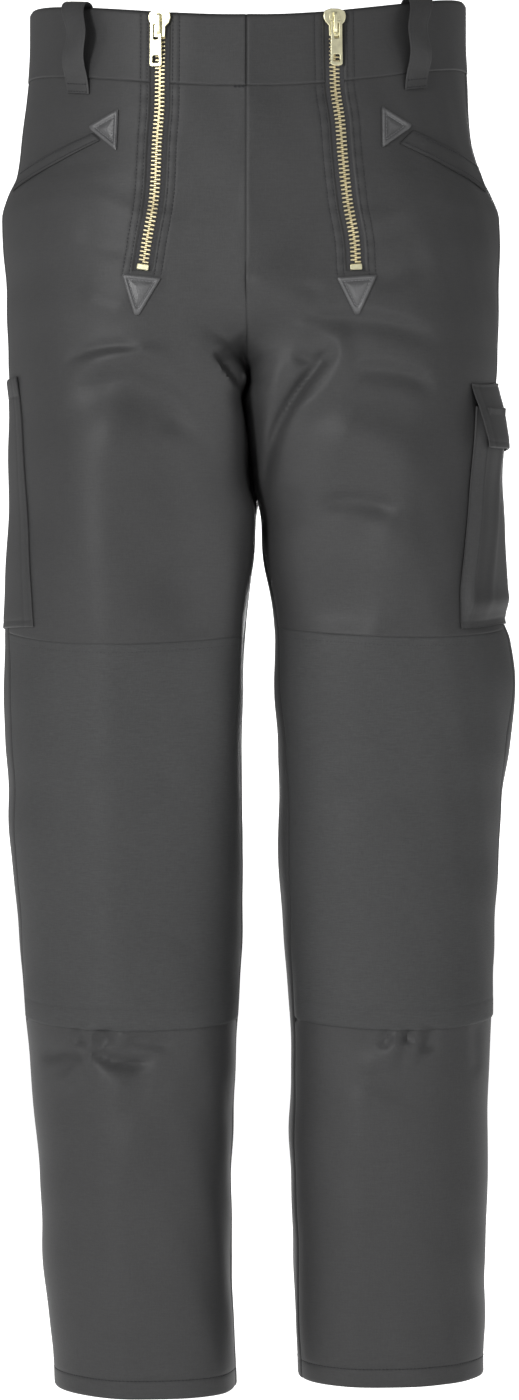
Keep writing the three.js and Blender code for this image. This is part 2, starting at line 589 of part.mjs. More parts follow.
// Pull: a flat tab with a long window for the bridge and a small square one near its end.
function pullGeometry() {
  const tab = new THREE.Shape();
  tab.moveTo(-3.4, 0.9);
  tab.lineTo(-4.2, -0.2);
  tab.lineTo(-4.3, -25.6);
  tab.lineTo(-3.2, -27.2);
  tab.lineTo(3.2, -27.2);
  tab.lineTo(4.3, -25.6);
  tab.lineTo(4.2, -0.2);
  tab.lineTo(3.4, 0.9);
  tab.closePath();
  const window = (half, high, low) => {
    const path = new THREE.Path();
    path.moveTo(-half, high);
    path.lineTo(half, high);
    path.lineTo(half, low);
    path.lineTo(-half, low);
    tab.holes.push(path);
  };
  window(2.0, -0.9, -12);
  window(2.4, -18.8, -24.4);
  const geometry = new THREE.ExtrudeGeometry(tab, { depth: 1.4, bevelEnabled: false });
  geometry.translate(0, 0, -0.7);
  return geometry;
}

for (const side of Object.keys(sides)) {
  const { sign, kneeTop, waistSide, zipTab, pocketTab, welt, loopX, loopBackX } = sides[side];
  add('front_' + side, frontPanel(side), 'moleskin');
  add('back_' + side, backPanel(side), 'moleskin');
  add('knee_' + side, kneePanel(side), 'plain');
  add('shin_' + side, shinPanel(side), 'moleskin');
  add('waistband_front_' + side, band(side, () => gapT, (v) => zipPlace(side, v, -zipHalf), 3), 'moleskin');
  add('waistband_side_' + side, band(side, (v) => zipPlace(side, v, zipHalf), () => 4 - gapT, 24), 'moleskin');
  add('loop_front_' + side, beltLoop('front', sign * loopX), 'moleskin');
  add('loop_back_' + side, beltLoop('back', sign * loopBackX), 'moleskin');
  add('zip_tab_' + side, patch(side, zipTab, 4, 4, 0.3, 2.3), 'leather');
  add('pocket_tab_' + side, patch(side, pocketTab, 4, 4, 0.3, 2.3), 'leather');
  add('pocket_welt_' + side, patch(side, welt, 3, 10, 0.5, 1.9), 'moleskin');
  const tapeLevels = [waistFront - 0.5, -20, -40, -55, -70, -86, -102, -118, -136, -150, -168, zipEnd, zipEnd - 6];
  add('zip_tape_' + side, zipStrip(side, tapeLevels, zipHalf + 5, -cloth - 1.5, -cloth - 0.5), 'tape');
  const chainLevels = [-18.5, -36, -52, -64, -78, -92, -106, -120, -134, -150, -168, zipEnd + 5.3];
  add('zip_chain_' + side, zipStrip(side, chainLevels, chainHalf, -cloth, 0.9), 'brass');
  add('zip_stop_' + side, zipStrip(side, [zipEnd + 5, zipEnd + 0.6], chainHalf + 0.4, -cloth, 1.4), 'brass');
  const frame = zipFrame(side);
  add('zip_slider_' + side, sliderGeometry(), 'brass').applyMatrix4(frame);
  const pull = add('zip_pull_' + side, pullGeometry(), 'brass');
  pull.applyMatrix4(frame.clone().multiply(new THREE.Matrix4().makeTranslation(0, 0, axisOut)));
}
add('loop_centre_back', beltLoop('back', 0), 'moleskin');
add('rule_pocket', rulePocket(), 'moleskin');
add('cargo_pocket', cargoPocket(), 'moleskin');
add('cargo_flap', cargoFlap(), 'moleskin');

export default group;
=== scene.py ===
import bpy
import numpy as np
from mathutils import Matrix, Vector


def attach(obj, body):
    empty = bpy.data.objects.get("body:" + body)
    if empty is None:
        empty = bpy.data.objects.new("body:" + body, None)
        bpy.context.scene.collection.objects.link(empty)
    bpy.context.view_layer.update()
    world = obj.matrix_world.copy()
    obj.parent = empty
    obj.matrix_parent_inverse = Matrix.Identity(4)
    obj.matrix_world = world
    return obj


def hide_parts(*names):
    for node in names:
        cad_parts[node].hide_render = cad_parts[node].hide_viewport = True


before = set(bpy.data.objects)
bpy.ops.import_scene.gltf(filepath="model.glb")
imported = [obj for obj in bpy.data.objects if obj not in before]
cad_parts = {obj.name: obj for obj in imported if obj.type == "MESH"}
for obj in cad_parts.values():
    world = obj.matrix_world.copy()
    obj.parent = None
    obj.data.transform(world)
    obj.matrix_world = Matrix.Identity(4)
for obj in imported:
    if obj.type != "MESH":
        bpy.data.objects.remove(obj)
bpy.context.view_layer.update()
print("frame loaded")

cloth = 1.6  # one layer of moleskin
bandHeight = 54
bandRise = 1.0  # how far the waistband stands out beyond the panels
waistFront = 3.1  # top edge at the centre front
waistBack = 36  # top edge at the centre back
forkZ = -268  # where the two halves part into legs
riseFront = -214  # where the crotch curve leaves the front
riseBack = -150
zipEnd = -189
zipHalf = 7  # half the slit's width
lapLift = 1.9  # how far a knee panel's lower edge lies over the shin
lapDepth = 10
loopHalf = 8.5  # half a belt loop's width
axisOut = 5.6  # the pull's hinge, out from the cloth
seamOverlap = 0.35  # how far sewn edges reach past the middle of a seam
gapT = -0.2 / 80  # the same in places of the ring, whose quarter is one place
legWidth = 190  # nominal width of a leg panel, which spaces its columns
noSeam = 99  # a distance at which no edge or seam is felt
deepest = -1.3  # the most that edges and dents together sink a face
top = waistFront - bandHeight  # where the panels start below the waistband

# Level sections of each half: distances outwards from the middle plane, depths and seam places.
columns = ["z", "inD", "inY", "frontD", "frontY", "outD", "outY", "backD", "backY", "tIn", "tOut"]
rightRows = np.array([
    [40, 2.65, 8, 40, -111, 169.5, 2, 45, 114, 0, 1.9],
    [0, 2.65, 8, 40, -115, 169.5, 2, 48, 119, 0, 1.9],
    [-45, 2.65, 8, 42, -119, 172.5, 2, 55, 126, 0, 1.9],
    [-75, 2.65, 8, 46, -122, 176.5, 2, 62, 131, 0, 1.9],
    [-104, 2.65, 8, 52, -124, 180, 1, 68, 135, 0, 1.9],
    [-120, 2.65, 8, 56, -124.5, 187, 0, 72, 137, 0, 1.9],
    [-136, 2.65, 8, 60, -125, 191.5, 0, 76, 139, 0, 1.9],
    [-160, 2.65, 8, 66, -125.5, 190.5, 0, 80, 141, 0, 1.9],
    [-200, 2.4, 8, 76, -125, 187.5, 2, 86, 141, 0, 1.9],
    [-245, 1.7, 8, 84, -122, 187, 4, 90, 131, 0, 1.9],
    [-268, 1.5, 8, 87, -120, 185.6, 5, 91, 124, 0, 1.9],
    [-300, -2.0, 8, 90, -117, 185.2, 6, 92, 115, 0.02, 1.9],
    [-350, -5.0, 7, 94, -112, 185.4, 6, 94, 105, 0.1, 1.9],
    [-384, -3.6, 6, 96, -109, 186.6, 5, 95, 99, 0.2, 1.88],
    [-420, 0.4, 5, 97, -105, 187.8, 4, 96, 92, 0.28, 1.84],
    [-461, 4.2, 4, 98, -101, 190.2, 3, 97, 85, 0.29, 1.78],
    [-508, 6.0, 3, 99, -97, 190.6, 2, 98, 79, 0.27, 1.74],
    [-560, 6.8, 2, 98, -92, 188, 1, 97, 75, 0.26, 1.74],
    [-600, 6.2, 1, 97, -89, 187, 1, 96, 74, 0.24, 1.76],
    [-662, 5.6, 0, 94, -85, 181, 1, 93, 76, 0.18, 1.8],
    [-725, 8.2, 0, 91, -82, 175.5, 2, 92, 79, 0.1, 1.9],
    [-786, 11.4, 1, 89, -79, 170.5, 3, 91, 79, 0.1, 1.96],
    [-848, 13.8, 2, 88, -76, 165, 3, 90, 77, 0.12, 2.0],
    [-895, 14.7, 2, 87, -74, 162, 3, 88, 75, 0.13, 2.0],
    [-950, 14.2, 2, 85, -72, 159.5, 3, 86, 73, 0.13, 2.0],
    [-988, 12.6, 2, 83, -71, 155.5, 3, 84, 72, 0.13, 2.0],
    [-1050, 10.6, 2, 80, -69, 150.5, 3, 80, 71, 0.13, 2.0],
])
leftRows = np.array([
    [40, -2.35, 8, 40, -111, 166.5, 2, 45, 114, 0, 1.9],
    [0, -2.35, 8, 40, -115, 166.5, 2, 48, 119, 0, 1.9],
    [-45, -2.35, 8, 42, -119, 168.5, 2, 55, 126, 0, 1.9],
    [-75, -2.35, 8, 46, -122, 171, 2, 62, 131, 0, 1.9],
    [-104, -2.35, 8, 52, -124, 179, 1, 68, 135, 0, 1.9],
    [-120, -2.35, 8, 56, -124.5, 187, 0, 72, 137, 0, 1.9],
    [-136, -2.35, 8, 60, -125, 192.5, 0, 76, 139, 0, 1.9],
    [-160, -2.35, 8, 66, -125.5, 192.5, 0, 80, 141, 0, 1.9],
    [-213, -2.0, 8, 78, -124.5, 192.5, 3, 87, 139, 0, 1.9],
    [-245, -1.3, 8, 84, -122, 191.5, 4, 90, 131, 0, 1.9],
    [-268, -0.5, 8, 87, -120, 189.5, 5, 91, 124, 0, 1.9],
    [-300, 4.0, 8, 92, -117, 188.5, 6, 94, 115, 0.02, 1.9],
    [-350, 8.2, 7, 98, -112, 187.2, 6, 98, 105, 0.1, 1.9],
    [-384, 9.4, 6, 102, -109, 188.0, 5, 101, 99, 0.2, 1.9],
    [-420, 14.6, 5, 105, -105, 189.8, 4, 104, 92, 0.29, 1.9],
    [-445, 18.2, 4, 108, -102, 195.5, 3, 107, 87, 0.32, 1.87],
    [-461, 19.6, 4, 109, -101, 201.5, 3, 108, 85, 0.33, 1.86],
    [-492, 19.0, 3, 111, -98, 205, 2, 110, 80, 0.35, 1.84],
    [-545, 21.6, 2, 110, -93, 201, 1, 109, 76, 0.37, 1.8],
    [-585, 22.4, 1, 108, -90, 194.5, 1, 107, 74, 0.39, 1.86],
    [-631, 22.0, 0, 106, -87, 192, 1, 105, 75, 0.38, 1.92],
    [-693, 26.2, 0, 106, -83, 189, 1, 106, 77, 0.33, 1.96],
    [-755, 31.0, 1, 108, -80, 186.8, 2, 108, 79, 0.28, 2.0],
    [-800, 31.6, 2, 108, -78, 185, 3, 109, 79, 0.28, 2.0],
    [-848, 30.4, 2, 108, -76, 184.4, 3, 109, 77, 0.3, 2.0],
    [-900, 32.4, 2, 108, -74, 183.6, 3, 109, 75, 0.3, 2.0],
    [-970, 34.6, 2, 108, -71, 181.8, 3, 109, 72, 0.28, 2.0],
    [-1040, 37.4, 2, 109, -69, 181.2, 3, 109, 71, 0.27, 2.0],
])

# Each half: levels, waist and places of its loops, and points (d, z) of its zip, tabs and welt.
sides = {
    "right": {
        "sign": -1, "rows": rightRows, "waistSide": 23.3, "hemZ": -1037, "kneeTop": -456, "kneeBow": -10,
        "kneeEnd": -751, "endBow": -6.5, "square": 5.5, "loopX": 128, "loopBackX": 92,
        "zip": [[60, 68.5], [0, 66.5], [-66, 67], [-94, 68.8], [-124, 70], [-140, 71.5], [-167, 76.3],
                [-189, 79.8], [-230, 88], [-300, 93], [-460, 98]],
        "zipTab": [[93.9, -191.5], [66.5, -194.5], [82.2, -220.5], [85.2, -220.5]],
        "pocketTab": [[119.3, -78.0], [118.2, -80.6], [99.4, -97.4], [98.0, -67.4]],
        "welt": [[111.5, -89.3], [181.5, -118.5], [175.5, -104], [117.5, -83.4]],
    },
    "left": {
        "sign": 1, "rows": leftRows, "waistSide": 30.2, "hemZ": -1028, "kneeTop": -452, "kneeBow": -8.5,
        "kneeEnd": -750, "endBow": -7, "square": 1.8, "loopX": 124, "loopBackX": 92,
        "zip": [[60, 63.5], [0, 62.8], [-52, 63.6], [-81, 67.3], [-108, 69.5], [-139, 73], [-170, 78.3],
                [-189, 79.4], [-230, 88], [-300, 95], [-460, 108]],
        "zipTab": [[65.7, -194.3], [93.9, -192.1], [81.4, -219.8], [78.3, -219.8]],
        "pocketTab": [[98.6, -65.2], [99.1, -95.1], [118.8, -79.4], [120.2, -76.6]],
        "welt": [[122.6, -80.2], [173.5, -97.5], [181, -119], [112.4, -91.6]],
    },
}

# Folds of each half and face: ridges (height above 0) and troughs from (d0, z0) to (d1, z1). bend
# bows the line sideways; left and right are its half widths on the two sides of that way.
foldNames = ["d0", "z0", "d1", "z1", "bend", "left", "right", "height"]
folds = {
    ("right", "front"): [
        # thigh: a hollow with a sharp upper edge, the ridge and the thin trough above it
        [120, -274, 46, -294, -11, 24, 10, -7.0],
        [124, -258, 70, -248, -2, 7, 6, 2.2],
        [132, -251, 88, -245, -3, 4, 4.5, -2.0],
        [62, -297, 30, -316, -3, 10, 9, -2.0],
        [130, -292, 106, -474, 3, 24, 44, 7.0],
        [62, -320, 46, -430, 4, 26, 22, -2.4],
        [58, -408, 40, -462, 0, 18, 20, -3.6],
        [118, -132, 60, -150, 3, 9, 9, 1.4],
        [126, -160, 92, -172, 3, 8, 12, -1.6],
        [122, -206, 92, -216, 3, 9, 9, 1.6],
        # knees and shins
        [106, -478, 106, -738, 3, 24, 50, 4.8],
        [104, -812, 98, -1032, 0, 24, 44, 7.0],
        [40, -770, 96, -868, 6, 12, 14, 2.2],
        [60, -560, 112, -566, 4, 12, 16, -1.2],
        [44, -690, 84, -682, 3, 12, 10, -1.0],
        [70, -930, 110, -940, 5, 14, 14, -1.2],
        # gathers under the knee panels
        [122, -755, 121, -782, 0, 5, 5, 4.4],
        [110, -757, 108, -768, 0, 6, 5, -4.4],
        [130, -757, 129, -768, 0, 5, 7, -4.4],
        [116, -774, 78, -781, 4, 5, 5, -4.6],
        [128, -776, 156, -780, 3, 5, 5, -4.2],
        [118, -788, 92, -804, 0, 14, 12, 3.0],
        [96, -758, 96, -769, 0, 5, 5, 2.6],
        [88, -764, 62, -768, 0, 5, 5, -3.0],
        [140, -790, 132, -800, 0, 12, 12, 2.4],
    ],
    ("left", "front"): [
        # thigh: light wedge beside the seam, hooked ridge and the sharp valley inside it
        [3, -192, 42, -232, 5, 30, 13, 4.4],
        [40, -229, 70, -247, 5, 14, 8, 3.0],
        [71, -246, 40, -290, 6, 12, 7, 3.0],
        [51, -258, 11, -343, -7.5, 5, 5, -7.5],
        [55, -252, 36, -251, 2, 6, 4, -3.4],
        [20, -262, 10, -318, -2, 7, 7, 2.5],
        [46, -200, 46, -224, 2, 9, 9, -1.6],
        [48, -225, 128, -233, 4, 6, 10, -3.8],
        [84, -262, 132, -270, 3, 6, 9, -3.6],
        [60, -310, 124, -332, 4, 22, 26, 6.6],
        [60, -359, 106, -364, 3, 6, 10, -4.6],
        [2, -440, 94, -446, 2, 50, 18, -4.8],
        [30, -352, 26, -380, 0, 12, 14, -2.0],
        [112, -372, 90, -474, 0, 18, 24, 5.6],
        [120, -140, 76, -152, 3, 9, 9, 1.4],
        [130, -178, 96, -196, 3, 9, 11, -1.6],
        # knees and shins
        [90, -478, 104, -738, -3, 26, 46, 4.2],
        [88, -812, 84, -1032, 0, 44, 26, 6.2],
        [58, -588, 116, -580, 4, 14, 12, -1.2],
        [52, -690, 92, -700, 3, 10, 14, -1.2],
        [76, -810, 120, -822, 4, 10, 14, 1.2],
        [70, -950, 128, -938, 5, 14, 14, -1.2],
        # gathers under the knee panels
        [104, -757, 102, -769, 0, 4, 4, -3.2],
        [112, -757, 104, -790, 0, 6, 6, 2.6],
        [120, -757, 119, -766, 0, 4, 4, -3.4],
        [128, -757, 122, -782, 0, 5, 5, 2.6],
        [137, -755, 134, -772, 0, 5, 5, -3.8],
        [172, -757, 173, -790, 0, 5, 5, -2.4],
        [88, -786, 114, -765, 0, 9, 7, 2.8],
    ],
    ("left", "back"): [
        # seat, hollows of the knees and calves behind
        [18, -276, 116, -246, -8, 6, 14, -4.4],
        [30, -240, 100, -222, -6, 8, 8, 2.2],
        [22, -296, 84, -330, 6, 9, 5, -3.2],
        [16, -120, 66, -168, 6, 12, 12, 1.8],
        [60, -520, 150, -500, 5, 7, 12, -3.6],
        [56, -548, 138, -556, 5, 10, 7, -2.8],
        [70, -470, 120, -462, 3, 8, 12, 2.0],
        [96, -340, 104, -460, 0, 16, 16, 2.2],
        [108, -600, 112, -900, 4, 20, 20, 2.0],
    ],
    ("right", "back"): [
        # seat, hollows of the knees and calves behind
        [20, -282, 110, -252, -8, 6, 14, -4.8],
        [34, -246, 104, -226, -6, 8, 8, 2.0],
        [18, -302, 74, -326, 6, 9, 5, -3.0],
        [18, -130, 70, -172, 6, 12, 12, 1.8],
        [50, -512, 140, -525, 5, 12, 7, -3.6],
        [44, -556, 120, -548, 5, 7, 10, -2.8],
        [52, -470, 100, -478, 3, 8, 12, 2.0],
        [84, -340, 92, -460, 0, 16, 16, 2.2],
        [86, -600, 84, -900, -4, 20, 20, 2.0],
    ],
}
tent = {"height": 5.0, "half": 62, "low": -250, "high": -190}  # the centre front stands up to its seam
# Inner halves of the front legs fall away: side, reach from the middle, height at it, fade levels.
slants = [["right", 106, -11, -275, -330, -650, -800], ["left", 84, -6, -330, -380, -560, -700]]
# Hollow beside the crotch: its upper edge and its lower one as (d, z), its reach from each, its depth.
tuck = {"side": "right", "upper": [(0, -229), (31, -248)], "lower": [(31, -248), (2, -285)],
        "reach": (15, 4.5), "depth": 15}


# a + (b - a) k
def mix(a, b, k):
    return a + (b - a) * k


# 3k^2 - 2k^3, where k goes from 0 at low to 1 at high.
def smooth(low, high, x):
    k = np.clip((x - low) / (high - low), 0, 1)
    return k * k * (3 - 2 * k)


# Bell of the given half width round a place: exp(-((x - place) / half)^2).
def bell(x, place, half):
    return np.exp(-(((x - place) / half) ** 2))


# Cubic Hermite curve through a table's rows, whose slopes are the harmonic means of their sides.
def read(rows, column, z):
    rows = np.asarray(rows, float)
    x, y = rows[:, 0], rows[:, column]
    rise = np.diff(y) / np.diff(x)
    turns = rise[:-1] * rise[1:] > 0
    slope = np.where(turns, 2 * rise[:-1] * rise[1:] / np.where(turns, rise[:-1] + rise[1:], 1), 0)
    slope = np.concatenate([[0], slope, [0]])
    i = np.clip(np.searchsorted(-x, -np.asarray(z, float), side="right") - 1, 0, len(x) - 2)
    h = x[i + 1] - x[i]
    k = np.clip((z - x[i]) / h, 0, 1)
    return (y[i] * (2 * k**3 - 3 * k**2 + 1) + slope[i] * h * (k**3 - 2 * k**2 + k)
            + y[i + 1] * (3 * k**2 - 2 * k**3) + slope[i + 1] * h * (k**3 - k**2))


# One column of a half's section table at level z.
def section(side, name, z):
    return read(sides[side]["rows"], columns.index(name), z)


# Quarter superellipses |x|^power + |y|^power = 1 through a section's four points: place t is 0 at
# the seam side, 1 at the front, 2 outside, 3 at the back. The power is 2 but for the squarer inner
# thighs. Above the fork the seam side follows an ellipse of the crotch curve.
def ring(side, t, z):
    t, z = np.broadcast_arrays(np.asarray(t, float), np.asarray(z, float))
    u = np.where((t > 4) & (z <= forkZ), t - 4, np.clip(t, 0, 4))
    front = u <= 2
    inD, inY, outD, outY = (section(side, name, z) for name in ("inD", "inY", "outD", "outY"))
    farD = np.where(front, section(side, "frontD", z), section(side, "backD", z))
    farY = np.where(front, section(side, "frontY", z), section(side, "backY", z))
    q = np.where(front, u, 4 - u)
    turn = (q - 1) * np.pi / 2
    start = np.where(front, riseFront, riseBack)
    k = np.clip((start - z) / (start - forkZ), 0, 1)
    seamY = np.where(z <= forkZ, inY, inY + (farY - inY) * np.sqrt(1 - k * k))
    fuller = inY + (farY - inY) * smooth(-330, -205, z)
    seamY = mix(seamY, fuller, smooth(0, 0.5, q) * smooth(-165, -225, z))
    a = q * np.pi / 2
    power = 2 + np.where(front, sides[side]["square"], 0.6) * smooth(-190, -268, z) * smooth(-700, -430, z)
    power = power + np.where(front, 0.8, 0) * smooth(-430, -700, z)
    out = (np.abs(np.cos(a)) ** power + np.abs(np.sin(a)) ** power) ** (-1 / power)
    across = mix(1 - np.cos(a) * out, q, smooth(forkZ, start, z))
    y = seamY + (farY - seamY) * np.sin(a) * out
    bent = smooth(forkZ + 4, forkZ - 12, z) * smooth(-372, -335, z)
    shift = 6 * bent * (1 - across) ** 2 * np.tanh((y - seamY) / 18)
    nearD = inD + (farD - inD) * across + sides[side]["sign"] * shift
    outer = q >= 1
    return (np.where(outer, farD + (outD - farD) * np.sin(turn), nearD),
            np.where(outer, outY + (farY - outY) * np.cos(turn), y))


# The waist dips at the centre front: height added at a place of the ring, fading out downwards.
def levelOf(side, t, v):
    d, y = ring(side, t, v)
    lift = sides[side]["waistSide"] - waistFront
    k = np.clip(d / section(side, "outD", v), 0, 1)
    dip = np.where((y <= 0) | (np.asarray(t) <= 2), lift * k * k, mix(waistBack - waistFront, lift, k * k))
    return v + dip * smooth(-210, -50, v)


# Sum of the folds: height x ends x exp(-(off / width)^2), width being left or right of the line.
def foldHeight(side, point, normal):
    d, y, z = np.abs(point[..., 0]), point[..., 1], point[..., 2]
    total = np.zeros(d.shape)
    for face, sign in (("front", -1), ("back", 1)):
        facing = smooth(0.05, 0.5, normal[..., 1] * sign)
        for row in folds[side, face]:
            f = dict(zip(foldNames, row))
            dx, dz = f["d1"] - f["d0"], f["z1"] - f["z0"]
            length = np.hypot(dx, dz)
            along = ((d - f["d0"]) * dx + (z - f["z0"]) * dz) / length**2
            off = ((d - f["d0"]) * -dz + (z - f["z0"]) * dx) / length
            off = off - f["bend"] * 4 * along * (1 - along)
            ends = smooth(-0.25, 0.2, along) * smooth(1.25, 0.8, along)
            total += f["height"] * facing * ends * bell(off, 0, np.where(off > 0, f["left"], f["right"]))
    rise = tent["height"] * np.clip(1 - d / tent["half"], 0, 1) ** 1.15 * smooth(tent["low"], tent["high"], z)
    for name, reach, height, z0, z1, z2, z3 in slants:
        if name == side:
            rise = rise + height * np.clip(1 - d / reach, 0, 1) ** 1.3 * smooth(z0, z1, z) * smooth(z3, z2, z)
    if side == tuck["side"]:
        inside = 1
        for edge, reach in zip(("upper", "lower"), tuck["reach"]):
            (d0, z0), (d1, z1) = tuck[edge]
            off = ((d - d0) * (z1 - z0) - (z - z0) * (d1 - d0)) / np.hypot(d1 - d0, z1 - z0)
            inside = inside * smooth(0, reach, off)
        rise = rise - tuck["depth"] * inside * smooth(-1, 6, d)
    return total + rise * (y < 0)


# Slow unevenness of worn cloth: a quarter of the sum of nine sines, whose wavelengths (mm),
# directions and phases are seeded.
rng = np.random.default_rng(11)
waves = [(rng.uniform(38, 120), rng.uniform(0, np.pi), rng.uniform(0, 2 * np.pi)) for _ in range(9)]


def uneven(x, z):
    total = sum(np.sin(2 * np.pi * (x * np.cos(a) + z * np.sin(a)) / w + p) for w, a, p in waves)
    return total / 4


# Point of a half without folds: (sign x d, y, z) at the dipped level.
def bare(side, t, v):
    z = levelOf(side, t, v)
    d, y = ring(side, t, z)
    return np.stack(np.broadcast_arrays(sides[side]["sign"] * d, y, z), -1)


# Point and outward normal of a half at place t and level v, folds and unevenness included.
def surface(side, t, v):
    t, v = np.broadcast_arrays(np.asarray(t, float), np.asarray(v, float))
    step = 0.02
    t0 = np.where(v > forkZ, np.clip(t, 0.03, 3.97), t + np.where(t < step, 4, 0))
    across = bare(side, t0 + step, v) - bare(side, t0 - step, v)
    up = bare(side, t0, v + 1) - bare(side, t0, v - 1)
    normal = np.cross(across, up) * sides[side]["sign"]
    normal /= np.linalg.norm(normal, axis=-1, keepdims=True)
    point = bare(side, t, v)
    toMiddle = np.minimum(t % 4, 4 - t % 4)
    seamed = mix(1, smooth(0, 0.12, toMiddle), smooth(forkZ - 20, forkZ, v))
    swell = 0.55 * uneven(point[..., 0] + 0.8 * point[..., 1], point[..., 2]) * seamed
    height = foldHeight(side, point, normal)
    point = point + normal * (swell * smooth(-10, -60, v))[..., None]
    point[..., 1] += height * np.sign(normal[..., 1])
    middle = np.where(v > forkZ, np.maximum(smooth(0.012, 0, t), smooth(3.988, 4, t)), 0)
    point[..., 0] -= sides[side]["sign"] * (seamOverlap + 1.3 * np.abs(normal[..., 0])) * middle
    return point, normal


# Surface point + normal x lift, and its normal.
def onSurface(side, t, v, lift):
    point, normal = surface(side, t, v)
    return point + normal * np.asarray(lift)[..., None], normal


# Place on the front or back at an outward distance d, by halving.
def placeAt(side, face, d, v):
    d, v = np.broadcast_arrays(np.asarray(d, float), np.asarray(v, float))
    low, high = np.full(d.shape, 0.0 if face == "front" else 4.0), np.full(d.shape, 2.0)
    for _ in range(30):
        middle = (low + high) / 2
        inside = ring(side, middle, levelOf(side, middle, v))[0] < d
        low, high = np.where(inside, middle, low), np.where(inside, high, middle)
    return (low + high) / 2


# Place and level of a point given by its outward distance and real height.
def spot(side, face, d, z):
    v = np.array(z, float)
    for _ in range(7):
        t = placeAt(side, face, d, v)
        v = v + z - levelOf(side, t, v)
    return t, v


# Place of the zip's line at level v, offset outwards; below the zip the columns spread.
def zipPlace(side, v, offset):
    widen = mix(1, 2.6, smooth(zipEnd - 10, -420, v))
    return placeAt(side, "front", read(sides[side]["zip"], 1, np.maximum(v, -460)) + offset * widen, v)


# Ring places of a leg's two long seams.
def inseam(side, v):
    return np.where(v > forkZ, 0, section(side, "tIn", v))


def outseam(side, v):
    return section(side, "tOut", v)


# Ring places of both seams for a column of levels, each reaching past its seam's middle.
def seams(side, v):
    return inseam(side, v) + gapT, outseam(side, v) - gapT


# Distances across a width: the given fine steps from each end, and even steps between.
def places(width, first, last, pitch):
    count = max(1, round((width - first[-1] - last[-1]) / pitch))
    middle = np.linspace(first[-1], width - last[-1], count + 1)[1:-1]
    return np.concatenate([first, middle, width - np.array(last)[::-1]])


# Edge of a turned piece of cloth: -depth x (1 - smooth) within reach of the edge.
def roll(x, depth=0.9, reach=1.5):
    return -depth * (1 - smooth(0, reach, x))


# Dent that a row of stitches pulls into the cloth: -depth exp(-((x - place) / half)^2).
def dent(x, place, depth=0.4, half=0.8):
    return -depth * bell(x, place, half)


edgeSteps = [0, 0.5, 1.1, 1.9, 3.2]


# Distances travelled at each point of a line, from its start.
def travelled(points):
    return np.concatenate([[0], np.cumsum(np.linalg.norm(np.diff(points, axis=0), axis=1))])


# Rows of numbers known at distances far, read at the distances s by straight lines between them.
def readAlong(s, far, rows):
    return np.stack([np.interp(s, far, column) for column in rows.T], -1)


# Steps on both sides of a row of stitches at a distance, so that its dent shows.
def stitchSteps(place):
    return [place - 0.8, place, place + 0.8]


# Object of a mesh, curve, lamp or camera, put into the scene.
def placed(name, data):
    made = bpy.data.objects.new(name, data)
    bpy.context.scene.collection.objects.link(made)
    return made


# Smooth mesh of points in millimetres; edges sharper than the angle in degrees stay sharp.
def meshObject(name, points, faces, paint, sharp):
    mesh = bpy.data.meshes.new(name)
    mesh.from_pydata((points / 1000).tolist(), [], faces)
    mesh.materials.append(paint)
    mesh.polygons.foreach_set("use_smooth", np.ones(len(faces), bool))
    mesh.set_sharp_from_angle(angle=np.radians(sharp))
    return placed(name, mesh)


# The body a piece rides and the CAD nodes that it stands for, which it hides. The material slot is not used.
def assign(made, body, slot, *nodes):
    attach(made, body)
    if nodes:
        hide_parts(*nodes)


# Closed mesh turned to face outwards by its volume, the sum of corner . (next x next but one),
# without the points that no face uses. Painted shading per point darkens its material as painted shade and
# lightens it as painted highlight.
def makeObject(name, points, faces, paint, paintedShading=None, sharp=38):
    a, b, c = (points[faces[:, k]] for k in range(3))
    volume = (a * np.cross(b, c)).sum()
    if faces.shape[1] == 4:
        volume += (a * np.cross(c, points[faces[:, 3]])).sum()
    faces = faces if volume > 0 else faces[:, ::-1]
    used, order = np.unique(faces, return_inverse=True)
    made = meshObject(name, points[used], order.reshape(faces.shape).tolist(), paint, sharp)
    shade = made.data.attributes.new("paintedShading", "FLOAT", "POINT")
    values = np.zeros(len(points)) if paintedShading is None else paintedShading
    shade.data.foreach_set("value", values[used].astype(np.float32))
    return made


# Closed cloth between point + normal x low and point + normal x high over a grid of cells. Its outer face
# takes painted shading from the given values.
def shell(name, points, normals, low, high, paint, here=None, paintedShading=None):
    shape = points.shape[:2]
    n = shape[0] * shape[1]
    low, high = np.broadcast_to(low, shape), np.broadcast_to(high, shape)
    both = np.concatenate([(points + normals * lift[..., None]).reshape(-1, 3) for lift in (high, low)])
    number = np.arange(n).reshape(shape)
    a, b, c, d = number[:-1, :-1], number[:-1, 1:], number[1:, 1:], number[1:, :-1]
    here = np.ones(a.shape, bool) if here is None else here
    edge = np.pad(here, 1)
    above, below = here & ~edge[:-2, 1:-1], here & ~edge[2:, 1:-1]
    before, after = here & ~edge[1:-1, :-2], here & ~edge[1:-1, 2:]

    def quads(mask, *corners):
        return np.stack([x[mask] for x in corners], -1)

    faces = np.concatenate([
        quads(here, a, b, c, d), quads(here, d + n, c + n, b + n, a + n),
        quads(above, b, a, a + n, b + n), quads(below, d, c, c + n, d + n),
        quads(before, a, d, d + n, a + n), quads(after, c, b, b + n, c + n),
    ])
    if paintedShading is not None:
        paintedShading = np.concatenate([np.broadcast_to(paintedShading, shape).ravel(), np.zeros(n)])
    return makeObject(name, both, faces, paint, paintedShading)


# Cloth riding the garment, standing for its CAD nodes.
def finishCloth(made, slot, nodes):
    assign(made, "garment", slot, *nodes)


